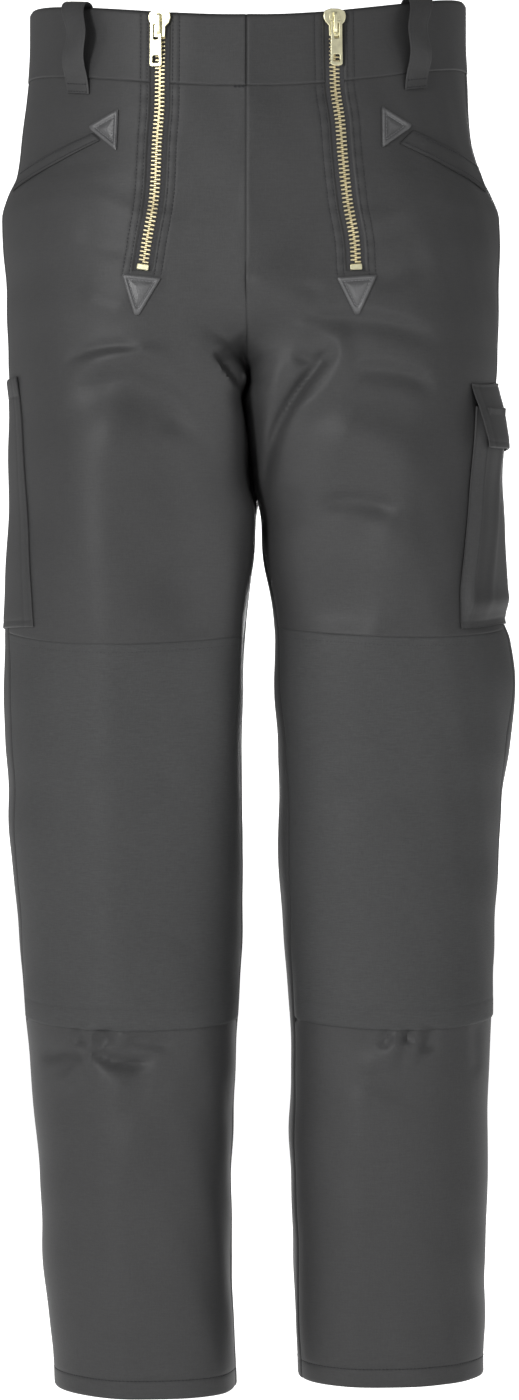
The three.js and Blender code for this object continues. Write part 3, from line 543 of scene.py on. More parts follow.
# Front panel: columns run inseam | slit edge | slit edge | outseam, rows from the band to the knee.
# Lift = rolled edges + dents of the stitch rows + short puckers beside the zip.
frontCut = {
    "innerWidth": 66, "outerWidth": 115, "slitCells": 8, "pitch": 1.9, "innerPitch": 1.0, "rowPitch": 1.8,
    "stitchRows": (2.5, 7.5), "pucker": 0.16, "puckerPitch": 12.5,
}
zipSteps = np.array([0, 0.5, 1.1, 1.9, 2.5, 3.1, 4.4, 5.8, 6.9, 7.5, 8.1, 9.4])


# Ring places of the columns on both sides of a zip, and each column's distance from the slit,
# the inseam and the outseam.
def zipColumns(side, levels, inner, outer):
    v = levels[:, None]
    k0, k3 = seams(side, v)
    before, after = (zipPlace(side, v, sign * (zipHalf + zipSteps[None])) for sign in (-1, 1))
    left = mix(k0, before[:, -1:], inner[None, :-1])
    right = mix(after[:, -1:], k3, outer[None, 1:])
    across = np.linspace(0, 1, frontCut["slitCells"] + 1)[None, 1:-1]
    slit = mix(before[:, :1], after[:, :1], across)
    t = np.hstack([left, before[:, ::-1], slit, after, right])
    farLeft, farRight = np.full(left.shape[1], noSeam), np.full(right.shape[1], noSeam)
    zipped = np.full(2 * len(zipSteps) + slit.shape[1], noSeam)
    toSlit = np.concatenate([farLeft, zipSteps[::-1], np.zeros(slit.shape[1]), zipSteps, farRight])
    toInseam = np.concatenate([inner[:-1] * frontCut["innerWidth"], zipped, farRight])
    toOutseam = np.concatenate([farLeft, zipped, (1 - outer[1:]) * frontCut["outerWidth"]])
    return t, k0, k3, toSlit, toInseam, toOutseam


# Dents of the two rows of stitches beside a zip.
def zipDents(toSlit):
    return [dent(toSlit, row, 0.3) for row in frontCut["stitchRows"]]


def frontPanel(side, paint):
    s, c = sides[side], frontCut
    inner = places(c["innerWidth"], edgeSteps, [0], c["innerPitch"]) / c["innerWidth"]
    outer = places(c["outerWidth"], [0], edgeSteps, c["pitch"]) / c["outerWidth"]
    depth = places(top - s["kneeTop"] + seamOverlap, edgeSteps, edgeSteps, c["rowPitch"])
    levels = np.sort(np.append(top - depth, zipEnd))[::-1]
    t, k0, k3, toSlit, toInseam, toOutseam = zipColumns(side, levels, inner, outer)
    share = (t - k0) / (k3 - k0)
    bow = s["kneeBow"] * smooth(-220, s["kneeTop"], levels)[:, None]
    v = levels[:, None] + bow * np.sin(np.pi * share)
    points, normals = surface(side, t, v)
    fromTop, fromEnd = (levels[0] - levels)[:, None], (levels - levels[-1])[:, None]
    opened = smooth(zipEnd - 2, zipEnd + 3, levels)[:, None]
    stitched = smooth(zipEnd - 6, zipEnd + 2, levels)[:, None]
    high = roll(toInseam, 0.7) + roll(toOutseam, 0.7) + roll(fromTop, 0.2, 0.9) + roll(fromEnd, 0.5, 1.2)
    high = high + opened * roll(toSlit, 0.9, 1.6)
    for row in zipDents(toSlit):
        high = high + stitched * row
    wave = np.sin(2 * np.pi * levels / c["puckerPitch"] + 1.7 * np.sin(levels / 31))[:, None]
    high = high + stitched * c["pucker"] * wave * bell(toSlit, 4, 4)
    high = np.maximum(high, deepest)
    cells = np.ones((len(levels) - 1, t.shape[1] - 1), bool)
    first = len(inner) + len(zipSteps) - 2
    cells[levels[:-1] > zipEnd + 0.01, first:first + c["slitCells"]] = False
    # The lift goes on as painted shading too: painted shade in the dents and rolled edges, painted highlight
    # on the puckers' crests.
    made = shell("front_cloth_" + side, points, normals, -cloth, high, paint, cells, high)
    finishCloth(made, "moleskin", ["front_" + side])


# Back panel: from the outseam round to the seat seam and inseam, waist to hem.
# A pressed seam allowance stands 0.5 mm proud beside each long seam.
backCut = {"width": 210, "pitch": 3.6, "rowPitch": 3.8, "allowance": 0.5, "allowanceWidth": 9}
hemStitch = 14  # from the hem's edge up to its row of stitches
hemSteps = edgeSteps + [6, 9, 12] + stitchSteps(hemStitch)


# Ring places of a back panel's two long edges.
def backSeams(side, v):
    return outseam(side, v) + gapT, 4 + inseam(side, v) - gapT


def backPanel(side, paint):
    c = backCut
    total = top - sides[side]["hemZ"]
    depth = places(total, edgeSteps, hemSteps, c["rowPitch"])
    seamSteps = edgeSteps + [6, 9, 11]
    across = places(c["width"], seamSteps, seamSteps, c["pitch"]) / c["width"]
    v = (top - depth)[:, None]
    t = mix(*backSeams(side, v), across)
    points, normals = surface(side, t, v)
    toEnd = (total - depth)[:, None]
    toSeams = across * c["width"], (1 - across) * c["width"]
    high = roll(toSeams[0]) + roll(toSeams[1]) + roll(depth[:, None]) + roll(toEnd)
    for x in toSeams:
        fade = 1 - smooth(c["allowanceWidth"], c["allowanceWidth"] + 3, x)
        high = high + c["allowance"] * smooth(0.8, 3, x) * fade
    high = high + dent(toEnd, hemStitch)
    # The lift goes on as painted shading too: painted shade at the rolled edges and the hem's dent, painted
    # highlight on the pressed allowances.
    made = shell("back_cloth_" + side, points, normals, -cloth, high, paint, None, high)
    finishCloth(made, "moleskin", ["back_" + side])


legPitch = 2.8


# Leg panel between inseam and outseam whose cross edges bow down by bow x sin(pi share): distance
# from the inseam, points and normals.
def legGrid(side, levels, bows):
    across = places(legWidth, edgeSteps, edgeSteps, legPitch) / legWidth
    t = mix(*seams(side, levels[:, None]), across)
    v = levels[:, None] + bows[:, None] * np.sin(np.pi * across)
    return across * legWidth, *surface(side, t, v)


# Share of a lap's lift across a leg panel, which goes to 0 at both seams.
def lapShare(x):
    return smooth(0, 11, np.minimum(x, legWidth - x))


kneeCut = {"topStitch": 6.2, "endStitch": 16, "lapSteps": [0, 0.4, 1.0, 1.8, 3.2, 5, 7, 8.5, 10, 11.5, 13]}


# Knee panel: lift = lapLift x lapShare where it laps over the shin, + rolled edges + two dents.
def kneePanel(side, paint):
    s = sides[side]
    total = s["kneeTop"] - s["kneeEnd"]
    first = edgeSteps + [4.4] + stitchSteps(kneeCut["topStitch"])
    last = kneeCut["lapSteps"] + stitchSteps(kneeCut["endStitch"])
    depth = places(total, first, last, legPitch)
    levels = s["kneeTop"] - depth
    x, points, normals = legGrid(side, levels, mix(s["kneeBow"], s["endBow"], depth / total))
    turn = s["kneeEnd"] + lapDepth
    lift = lapLift * smooth(turn + 44, turn - 3, levels)[:, None] * lapShare(x)
    toTop, toEnd = depth[:, None], (total - depth)[:, None]
    high = roll(x, 0.7) + roll(legWidth - x, 0.7) + roll(toTop, 0.4, 1.0) + roll(toEnd, 0.6, 1.4)
    high = high + dent(toTop, kneeCut["topStitch"], 0.06) + dent(toEnd, kneeCut["endStitch"], 0.14)
    # The lift goes on as painted shading too: painted shade at the rolled edges and the stitch dents.
    made = shell("knee_cloth_" + side, points, normals, lift - cloth, lift + high, paint, None, high)
    finishCloth(made, "knee_cloth", ["knee_" + side])


# Shin panel: starts behind the knee panel's lap and sinks below it beside the seams.
def shinPanel(side, paint):
    s = sides[side]
    start = s["kneeEnd"] + lapDepth - 3
    total = start - s["hemZ"]
    depth = places(total, edgeSteps, hemSteps, legPitch)
    levels = start - depth
    bows = s["endBow"] * smooth(s["hemZ"] + 80, s["kneeEnd"], levels)
    x, points, normals = legGrid(side, levels, bows)
    toEnd = (total - depth)[:, None]
    high = roll(x) + roll(legWidth - x) + roll(toEnd) + dent(toEnd, hemStitch)
    under = smooth(s["kneeEnd"] - 5, s["kneeEnd"] - 1, levels)[:, None]
    sink = (1 - lapShare(x)) * lapLift * under
    # The lift goes on as painted shading too: painted shade at the rolled edges and the hem's dent.
    made = shell("shin_cloth_" + side, points, normals, -cloth - sink, high - sink, paint, None, high)
    finishCloth(made, "moleskin", ["shin_" + side])


bandCut = {
    "front": 48, "side": 290, "pitch": 2.8, "rowPitch": 2.7, "rounding": 1.5,
    "topSteps": [0, 0.25, 0.7, 1.4, 2.4, 4], "footSteps": [0, 0.4, 0.9, 1.6, 2.6],
}


# Waistband: two layers, rounded over the top edge and turned in at the seam. Its front part runs
# from the centre front to the zip, its side part from the zip to the centre back.
def waistband(side, part, paint):
    c = bandCut
    levels = waistFront - places(bandHeight, c["topSteps"], c["footSteps"], c["rowPitch"])
    v, width = levels[:, None], c[part]
    zipped = np.full(len(zipSteps), noSeam)
    if part == "front":
        across = places(width, edgeSteps, [0], c["pitch"]) / width
        near = zipPlace(side, v, -(zipHalf + zipSteps[None]))
        t = np.hstack([mix(gapT + 0 * v, near[:, -1:], across[None, :-1]), near[:, ::-1]])
        toZip = np.concatenate([np.full(len(across) - 1, noSeam), zipSteps[::-1]])
        toSeam = np.concatenate([across[:-1] * width, zipped])
    else:
        across = places(width, [0], edgeSteps, c["pitch"]) / width
        near = zipPlace(side, v, zipHalf + zipSteps[None])
        t = np.hstack([near, mix(near[:, -1:], 4 - gapT + 0 * v, across[None, 1:])])
        toZip = np.concatenate([zipSteps, np.full(len(across) - 1, noSeam)])
        toSeam = np.concatenate([zipped, (1 - across[1:]) * width])
    points, normals = surface(side, t, v)
    down = (waistFront - levels)[:, None]
    high = bandRise + roll(down, c["rounding"], 2.4) + roll(bandHeight - down, 0.75, 1.1)
    high = high + roll(toZip, 0.9, 1.6) + roll(toSeam, 1.2, 1.4)
    for row in zipDents(toZip):
        high = high + row
    high = np.maximum(high, deepest)
    name = "waistband_" + part
    # The lift above the band's rise goes on as painted shading: painted shade at the rolled edges and the
    # stitch dents.
    made = shell(name + "_cloth_" + side, points, normals, -cloth, high, paint, None, high - bandRise)
    finishCloth(made, "moleskin", [name + "_" + side])


# Belt loop: a strap along a path of [out, height] points from inside the band over its top edge.
loopCut = {
    "thick": 1.4, "edge": 1.9, "lean": -5.5, "twist": 3.2, "edgeSteps": [0, 0.3, 0.9, 1.5, 1.9, 2.3],
    "path": [[-3.0, -16], [-3.0, -8], [-3.0, -2], [-2.2, 1.4], [0.8, 3.0], [5.2, 2.4], [9.0, -0.6],
             [11.8, -7], [13.0, -17], [12.8, -28], [10.8, -38], [7.8, -46], [4.8, -52], [3.0, -57],
             [2.0, -61], [1.4, -66]],
}
halvesMeet = -2.6  # x where the loop at the centre back passes from one half to the other


# Catmull-Rom curve: p1 + u/2 (p2-p0) + u^2 (p0-5/2 p1+2 p2-p3/2) + u^3/2 (3p1-3p2+p3-p0).
def smoothPath(path, count):
    p = np.asarray(path, float)
    p = np.vstack([2 * p[0] - p[1], p, 2 * p[-1] - p[-2]])
    s = np.linspace(0, len(p) - 3 - 1e-9, count)
    i, u = s.astype(int), (s % 1)[:, None]
    p0, p1, p2, p3 = p[i], p[i + 1], p[i + 2], p[i + 3]
    return (p1 + u * (p2 - p0) / 2 + u**2 * (p0 - 2.5 * p1 + 2 * p2 - p3 / 2)
            + u**3 * (3 * p1 - 3 * p2 + p3 - p0) / 2)


# Two faces = path +- half the thickness at right angles to it. Their mean is the middle, and a half
# of their difference the way and size of each side. A loop leans aside and twists by bells of height.
def beltLoop(name, face, x, node, paint):
    c = loopCut
    path = smoothPath(c["path"], 64)
    out, rise = path[:, :1], path[:, 1:]
    slope = np.gradient(path, axis=0)
    slope /= np.linalg.norm(slope, axis=1, keepdims=True)
    offsets = places(2 * loopHalf, c["edgeSteps"], c["edgeSteps"], 2.2) - loopHalf
    fromEdge = loopHalf - np.abs(offsets)
    half = c["thick"] / 2
    skin = half - 0.45 * (1 - smooth(0, 0.9, fromEdge)) - 0.3 * bell(fromEdge, c["edge"], 0.5)
    lean = c["lean"] * np.sign(abs(x)) * bell(rise, -22, 16) * (out > 0)
    twist = c["twist"] * np.sign(abs(x)) * bell(rise, -24, 17) * (out > 0)
    layers = []
    for sign in (1, -1):
        faceOut = out + slope[:, 1:] * sign * skin
        faceRise = rise - slope[:, :1] * sign * skin
        grid = np.zeros(faceOut.shape + (3,))
        for side, s in sides.items():
            mine = (x + offsets < halvesMeet) == (side == "right")
            if not mine.any():
                continue
            v = waistFront + faceRise[:, mine]
            d = s["sign"] * (x + offsets[mine]) + lean * smooth(0, 6, out)
            turned = twist * -s["sign"] * offsets[mine] / loopHalf
            grid[:, mine] = onSurface(side, placeAt(side, face, d, v), v, faceOut[:, mine] + turned)[0]
        layers.append(grid)
    middle = (layers[0] + layers[1]) / 2
    ways = layers[0] - middle
    size = np.linalg.norm(ways, axis=-1)
    made = shell(name, middle, ways / size[..., None], -size, size, paint)
    finishCloth(made, "moleskin", [node])
    return middle, ways / size[..., None]


weltCut = {
    "low": 0.5, "high": 1.9, "wide": 10, "long": 70, "stitch": 1.9, "edgeSteps": [0, 0.4, 0.9, 1.5, 2.1],
}


# Welt of a hip pocket: a strip between four corners (a to b above, d to c below), lifted off.
def pocketWelt(side, paint):
    cut = weltCut
    down = places(cut["wide"], cut["edgeSteps"], cut["edgeSteps"], 1.2) / cut["wide"]
    along = np.linspace(0, 1, 70)
    a, b, c, d = (np.array(p, float) for p in sides[side]["welt"])
    m = along[None, :, None]
    flat = mix(mix(a, b, m), mix(d, c, m), down[:, None, None])
    points, normals = surface(side, *spot(side, "front", flat[..., 0], flat[..., 1]))
    x = (down * cut["wide"])[:, None]
    ends = np.minimum(along, 1 - along)[None, :] * cut["long"]
    high = cut["high"] + roll(x, 0.8, 1.2) + roll(cut["wide"] - x, 0.8, 1.2) + roll(ends, 0.6, 1.2)
    high = high + dent(np.minimum(x, cut["wide"] - x), cut["stitch"], 0.25)
    # Painted shade from the lift: the rolled edges and the stitch dent darken.
    paintedShading = high - cut["high"]
    made = shell("pocket_welt_cloth_" + side, points, normals, cut["low"], high, paint, None, paintedShading)
    finishCloth(made, "moleskin", ["pocket_welt_" + side])
    return points, normals, high


tabCut = {
    "rim": 1.5, "border": 2.3, "groove": 1.55, "middle": 2.35, "grooveAt": 3.0, "corner": 1.6,
    "grow": 1.06, "under": 0.3,
}


# Closed outline whose corners are quadratic curves (1-u)^2 a + 2u(1-u) corner + u^2 b, evenly
# divided by its length.
def outline(corners, radius, count):
    p = np.array(corners, float)
    parts = []
    for i in range(len(p)):
        before, here, after = p[i - 1], p[i], p[(i + 1) % len(p)]
        a, b = before - here, after - here
        cut = min(radius, 0.45 * np.linalg.norm(a), 0.45 * np.linalg.norm(b))
        one, two = here + a / np.linalg.norm(a) * cut, here + b / np.linalg.norm(b) * cut
        u = np.linspace(0, 1, 7)[:, None]
        parts.append((1 - u) ** 2 * one + 2 * u * (1 - u) * here + u * u * two)
    loop = np.vstack(parts + [parts[0][:1]])
    far = travelled(loop)
    return readAlong(np.linspace(0, far[-1], count + 1)[:-1], far, loop)


# Leather triangle of rings that shrink from its outline to its middle. The lift rises over a
# rolled border, dips in the stitch groove and swells towards the middle, by smooth of the inset.
def leatherTab(name, side, corners, node, paint):
    c = tabCut
    edge = outline(corners, c["corner"], 96)
    middle = edge.mean(0)
    edge = middle + (edge - middle) * c["grow"]
    away = np.roll(edge, -1, 0) - np.roll(edge, 1, 0)
    away = np.stack([away[:, 1], -away[:, 0]], -1)
    away /= np.linalg.norm(away, axis=1, keepdims=True)
    reach = np.abs(((edge - middle) * away).sum(1)).min()
    inmost = reach * 0.97
    inset = np.array([0, 0.25, 0.6, 1.1, 1.6, 2.1, 2.5, 3.0, 3.5, 4.2, 5.2, 6.4, 7.6, inmost])
    inset = inset[inset <= inmost]
    flat = middle + (edge - middle) * (1 - inset / reach)[:, None, None]
    points, normals = surface(side, *spot(side, "front", flat[..., 0], flat[..., 1]))
    high = (c["rim"] + (c["border"] - c["rim"]) * smooth(0, 1.1, inset)
            - (c["border"] - c["groove"]) * smooth(1.7, c["grooveAt"], inset)
            + (c["middle"] - c["groove"]) * smooth(c["grooveAt"], 7, inset))
    high = high[:, None] + 0 * points[..., 0]
    rows, cols = high.shape
    n = rows * cols
    number = np.arange(n).reshape(rows, cols)
    after = np.roll(number, -1, 1)
    faces = [np.stack([number[:-1], after[:-1], after[1:], number[1:]], -1).reshape(-1, 4)]
    faces.append(faces[0][:, ::-1] + n)
    faces.append(np.stack([number[0], number[0] + n, after[0] + n, after[0]], -1))
    layers = [points + normals * high[..., None], points + normals * c["under"]]
    caps = [layer[-1].mean(0) for layer in layers]
    both = np.concatenate([layer.reshape(-1, 3) for layer in layers] + [np.stack(caps)])
    last, pairs = number[-1], np.arange(0, cols, 2)
    capUp = np.stack([last[pairs], after[-1][pairs], np.roll(last, -2)[pairs], 2 * n + 0 * pairs], -1)
    capDown = capUp[:, ::-1] + n
    capDown[:, 0] = 2 * n + 1
    # Painted shading: the lift below the border darkens the rim and the stitch groove as painted shade.
    paintedShading = np.concatenate([high.ravel() - c["border"], np.zeros(n + 2)])
    made = makeObject(name, both, np.concatenate(faces + [capUp, capDown]), paint, paintedShading, 50)
    assign(made, "garment", "leather", node)
    k = np.searchsorted(inset, c["grooveAt"])
    return points[k], normals[k], high[k]


# Pocket pieces lie across the outseam between ring places and levels [front, back, level] at their
# head and foot: place and level are mixes of those by the share k down and the share m across.
def sideGrid(side, c, k, m, lean=(0, 0), bow=0):
    head, foot = c["head"], c["foot"]
    t = mix(mix(head[0], foot[0], k), mix(head[1], foot[1], k), m)
    t = t + bow * np.sin(np.pi * k) * (1 - m)
    v = mix(head[2], foot[2], k) + mix(lean[0], lean[1], k) * smooth(0.5, 0, m)
    return surface(side, t, v)


# Shares down (a column) and across (a row) from the fine steps at the four edges.
def pocketShares(c):
    k = places(c["long"], c["topSteps"], c["footSteps"], c["rowPitch"])[:, None] / c["long"]
    m = places(c["wide"], c["frontSteps"], c["backSteps"], c["pitch"])[None] / c["wide"]
    return k, m


# Smooth reading of [share, value] rows: the table curve on shares that fall.
def smoothProfile(rows, k):
    return read([[-share, value] for share, value in rows], 1, -k)


cargoCut = {
    "head": [1.61, 2.5, -281], "foot": [1.37, 2.37, -449], "long": 168, "wide": 92,
    "rowPitch": 2.7, "pitch": 2.3, "lean": (-4, -5), "bow": 0.03,
    "topSteps": [0, 0.4, 0.9, 1.6, 3, 5], "footSteps": [0, 0.5, 1.2, 2, 3, 4.2, 5.6, 7, 8.5],
    "frontSteps": [0, 0.7, 1.5, 2.4, 3.2, 3.9, 4.5, 5.2, 6.2],
    "backSteps": [0, 0.7, 1.5, 2.4, 3.2, 3.9, 4.5, 5.2],
    "depth": 7.9, "footDepth": 0.8, "thick": 1.5, "footStitches": (163.5, 159), "frontStitch": 6.2,
    "ridge": [[0.0, 0.28], [0.35, 0.24], [0.75, 0.2], [1, 0.17]], "ridgeHeight": 1.2, "ridgeHalf": 0.035,
}


# Lift = 0.8 + (profile of rows - 0.8) x profile of columns, + a ridge, a hollow and a swell of bells
# on the face.
def cargoPocket(paint):
    c = cargoCut
    k, m = pocketShares(c)
    points, normals = sideGrid("left", c, k, m, c["lean"], c["bow"])
    foot = c["footDepth"]
    low = mix(foot, mix(c["depth"], foot, smooth(0.88, 0.998, k)), smooth(0, 0.046, m) * smooth(1, 0.954, m))
    centre = np.interp(k, *np.array(c["ridge"]).T)
    body = smooth(0.03, 0.14, m) * smooth(0.97, 0.8, m) * smooth(1, 0.85, k)
    ridge = c["ridgeHeight"] * bell(m, centre, c["ridgeHalf"]) - 0.4 * bell(m, centre + 0.13, 0.09)
    low = low + body * (ridge + 0.7 * bell(m, 0.62 - 0.1 * k, 0.1) * smooth(0.1, 0.5, k))
    down = k * c["long"]
    first, second = c["footStitches"]
    edges = dent(down, first, 0.3) + dent(down, second, 0.3) + dent(m * c["wide"], c["frontStitch"], 0.3)
    high = low + c["thick"] + edges + roll(down, 0.5, 0.8)
    # The stitch dents go on as painted shade.
    made = shell("cargo_pocket_cloth", points, normals, low, high, paint, None, edges + 0 * high)
    finishCloth(made, "moleskin", ["cargo_pocket"])


flapSteps = [0, 0.4, 0.9, 1.5, 2.2, 4.2, 5, 5.8]
flapCut = {
    "head": [1.57, 2.54, -261.5], "foot": [1.6, 2.53, -312.5], "long": 51, "wide": 96,
    "rowPitch": 1.9, "pitch": 2.3, "lean": (-7, -3.5), "thick": 1.5, "sag": 1.1, "stitch": 5,
    "topStitch": 2.6, "topSteps": [0, 0.4, 0.9, 1.6, 2.6, 3.6], "footSteps": flapSteps,
    "frontSteps": flapSteps, "backSteps": flapSteps,
    "rows": [[0, 0.8], [0.15, 2.6], [0.4, 6.8], [0.65, 9.8], [1, 12.6]],
}


# Lift = profile of rows + sag x sin(pi m) x sin(3.1 pi m + 0.6), growing downwards.
def cargoFlap(paint):
    c = flapCut
    k, m = pocketShares(c)
    points, normals = sideGrid("left", c, k, m, c["lean"])
    low = smoothProfile(c["rows"], k) + 0 * m
    low = low + c["sag"] * np.sin(np.pi * m) * smooth(0.25, 1, k) * np.sin(3.1 * np.pi * m + 0.6)
    x, toEnd = np.minimum(m, 1 - m) * c["wide"], (1 - k) * c["long"]
    edges = dent(x, c["stitch"], 0.3, 0.7) + dent(toEnd, c["stitch"], 0.3, 0.7)
    edges = edges + dent(k * c["long"], c["topStitch"], 0.35)
    high = low + c["thick"] + edges + roll(x, 0.5, 0.9) + roll(toEnd, 0.5, 0.9)
    # The stitch dents go on as painted shade.
    made = shell("cargo_flap_cloth", points, normals, low, high, paint, None, edges)
    finishCloth(made, "moleskin", ["cargo_flap"])


ruleCut = {
    "head": [1.715, 2.21, -261], "foot": [1.5, 2.08, -452.5], "long": 191.5, "wide": 56,
    "rowPitch": 2.8, "pitch": 2.2, "thick": 1.5, "topStitch": 15, "footStitch": 5, "edgeStitch": 1.6,
    "frontStitch": 7,
    "topSteps": [0, 0.4, 0.9, 1.6, 2.6, 4, 14.2, 15, 15.8], "footSteps": [0, 0.4, 0.9, 1.6, 4.2, 5, 5.8],
    "frontSteps": [0, 0.4, 0.9, 1.3, 1.9, 2.6, 6.2, 7, 7.8], "backSteps": [0, 0.4, 0.9, 1.3, 1.9, 2.6],
}


# Rule pocket: lift = 1.2 at its open top, 0.3 below, + its dents and rolled edges.
def rulePocket(paint):
    c = ruleCut
    k, m = pocketShares(c)
    points, normals = sideGrid("right", c, k, m)
    low = mix(1.2, 0.3, smooth(0, 0.1, k)) + 0 * m
    x, down, toEnd = np.minimum(m, 1 - m) * c["wide"], k * c["long"], (1 - k) * c["long"]
    edges = dent(x, c["edgeStitch"], 0.3, 0.6) + dent(m * c["wide"], c["frontStitch"], 0.3, 0.7)
    edges = edges + dent(toEnd, c["footStitch"], 0.3) + dent(down, c["topStitch"], 0.3)
    high = low + c["thick"] + edges + roll(x, 0.5, 0.9) + roll(toEnd, 0.5, 0.9) + roll(down, 0.4, 0.8)
    # The stitch dents go on as painted shade.
    made = shell("rule_pocket_cloth", points, normals, low, high, paint, None, edges)
    finishCloth(made, "moleskin", ["rule_pocket"])


tapeCut = {
    "half": 12, "low": -3.1, "high": -2.1, "rise": 1.15, "rib": 0.1, "ribPitch": 2.4, "pitch": 1.0,
    "edgeSteps": [0, 0.4, 1.2, 3, 4.1, 4.5, 4.9],
}


# Woven tape behind the slit: ribs are a cosine across it, and it rises between the slit's edges.
def zipTape(side, paint):
    c = tapeCut
    levels = np.linspace(waistFront - 0.5, zipEnd - 6, 90)
    v = levels[:, None]
    offsets = places(2 * c["half"], c["edgeSteps"], c["edgeSteps"], c["pitch"]) - c["half"]
    t = placeAt(side, "front", read(sides[side]["zip"], 1, levels)[:, None] + offsets, v)
    points, normals = surface(side, t, v)
    rib = c["rib"] * np.cos(2 * np.pi * offsets / c["ribPitch"])
    rise = c["rise"] + 0.8 * bandRise * smooth(top - 3, top + 2, v)
    rise = rise * smooth(7.9, 7.1, np.abs(offsets))
    high = c["high"] - c["rib"] + rib + rise
    made = shell("zip_tape_cloth_" + side, points, normals, c["low"] + rise, high, paint)
    finishCloth(made, "zip_tape", ["zip_tape_" + side])


# Copies of one template: point = centre + x first axis + y second + z third, for rows of frames.
def copies(template, faces, centres, *axes):
    spread = centres[:, None]
    for k, axis in enumerate(axes):
        spread = spread + template[None, :, k:k + 1] * axis[:, None]
    step = len(template) * np.arange(len(centres))[:, None, None]
    return spread.reshape(-1, 3), (faces[None] + step).reshape(-1, 4)


# Tube of an even-sided profile at stations (place, scale) closed by flat ends, as a template of
# quads.
def capsule(stations, profile):
    n = len(profile)
    points = np.concatenate([np.column_stack([np.full(n, x), profile * r]) for x, r in stations])
    i = np.arange(n)
    j = (i + 1) % n
    faces = [np.stack([i, j, j + n, i + n], -1) + k * n for k in range(len(stations) - 1)]
    for first, turn in ((0, -1), ((len(stations) - 1) * n, 1)):
        for k in range(1, n - 1, 2):
            faces.append(np.array([[first, first + k, first + k + 1, first + k + 2][::turn]]))
    return points, np.concatenate(faces)


# Directions scaled to length 1.
def unit(v):
    return v / np.linalg.norm(v, axis=-1, keepdims=True)


# Frames along a zip: middle line, direction down the zip, across it and out of the cloth.
def zipLine(side, levels):
    middle = read(sides[side]["zip"], 1, levels)
    points, normals = surface(side, placeAt(side, "front", middle, levels), levels)
    along = unit(np.gradient(points, axis=0))
    across = unit(np.cross(normals, along))
    return points, along, across, normals


# Section of a bar with two chamfered corners on top, as (half width, height) points.
def chamfered(half, low, high, cut):
    return np.array([[half, low], [half, high - cut], [half - cut, high], [cut - half, high],
                     [-half, high - cut], [-half, low]])


teethCut = {"pitch": 1.5, "long": 3.9, "past": 1.05, "wide": 1.2, "low": -1.9, "high": 0.85, "chamfer": 0.32}


# Teeth of alternate sides: chamfered bars from past the middle to the tape.
def zipTeeth(side, paint):
    c = teethCut
    levels = np.arange(-14.5, zipEnd + 6.4, -c["pitch"])
    points, along, across, out = zipLine(side, levels)
    profile = chamfered(c["wide"] / 2, (c["low"] - c["high"]) / 2, (c["high"] - c["low"]) / 2, c["chamfer"])
    stations = [(-c["past"], 0.6), (-c["past"] + 0.4, 1), (c["long"] - 0.4, 1), (c["long"], 0.7)]
    centres = points + out * (c["high"] + c["low"]) / 2
    ways = np.where(np.arange(len(levels)) % 2 == 0, 1, -1)[:, None]
    teeth = copies(*capsule(stations, profile), centres, across * ways, along, out)
    made = makeObject("zip_teeth_" + side, *teeth, paint, None, 30)
    assign(made, "garment", "zip_metal", "zip_chain_" + side)


stopCut = {"half": 2.2, "low": -1.6, "high": 1.4, "chamfer": 0.5, "halfLong": 4.4, "rounding": 0.4}


# Bottom stop: a rounded block across both rows, the middle one of three frames.
def zipStop(side, paint):
    c = stopCut
    frames = [x[1:2] for x in zipLine(side, np.array([zipEnd + 5, zipEnd + 2.8, zipEnd + 0.6]))]
    ends = [(x, 0.75) for x in (-c["halfLong"], c["halfLong"])]
    straightEnd = c["halfLong"] - c["rounding"]
    template, faces = capsule([ends[0], (-straightEnd, 1), (straightEnd, 1), ends[1]],
                              chamfered(c["half"], c["low"], c["high"], c["chamfer"]))
    point, along, across, out = frames
    block = copies(template, faces, point, across, along, out)
    made = makeObject("zip_stop_block_" + side, *block, paint, None, 30)
    assign(made, "garment", "zip_metal", "zip_stop_" + side)


# Flat plate with rounded edges from closed outlines, the first outside and the rest holes: a filled
# curve, bevelled, as a mesh.
def plate(outlines, depth, bevel):
    data = bpy.data.curves.new("plate", "CURVE")
    data.dimensions = "2D"
    data.fill_mode = "BOTH"
    data.extrude = depth / 2 - bevel
    data.bevel_depth = bevel
    data.bevel_resolution = 2
    data.offset = -bevel
    for line in outlines:
        spline = data.splines.new("POLY")
        spline.points.add(len(line) - 1)
        withWeights = np.column_stack([line, np.zeros(len(line)), np.ones(len(line))])
        spline.points.foreach_set("co", withWeights.ravel())
        spline.use_cyclic_u = True
    temporary = placed("plate", data)
    bpy.context.view_layer.update()
    evaluated = temporary.evaluated_get(bpy.context.evaluated_depsgraph_get())
    mesh = bpy.data.meshes.new_from_object(evaluated)
    bpy.data.objects.remove(temporary)
    return mesh


sliderLevel = -6.5  # level of a pull's hinge, with the zip closed


# Frame of a zip's pull: upright, turned to face straight out of the cloth (across, up, out).
def zipFrame(side):
    v = np.array([sliderLevel])
    point, normal = surface(side, zipPlace(side, v, 0), v)
    out = unit(normal[0] * [1, 1, 0])
    up = np.array([0.0, 0.0, 1.0])
    return point[0], np.column_stack([np.cross(up, out), up, out])


# Metal piece of plates placed in a zip's frame: point = origin + axes x (turn x + move).
def metalPiece(name, side, parts, body, node, paint):
    origin, axes = zipFrame(side)
    points, faces, start = [], [], 0
    for mesh, turn, move in parts:
        co = np.zeros(len(mesh.vertices) * 3)
        mesh.vertices.foreach_get("co", co)
        local = co.reshape(-1, 3) @ np.array(turn, float).T + move
        points.append(local @ axes.T + origin)
        faces += [[v + start for v in p.vertices] for p in mesh.polygons]
        start += len(mesh.vertices)
    assign(meshObject(name, np.concatenate(points), faces, paint, 35), body, "zip_metal", node)


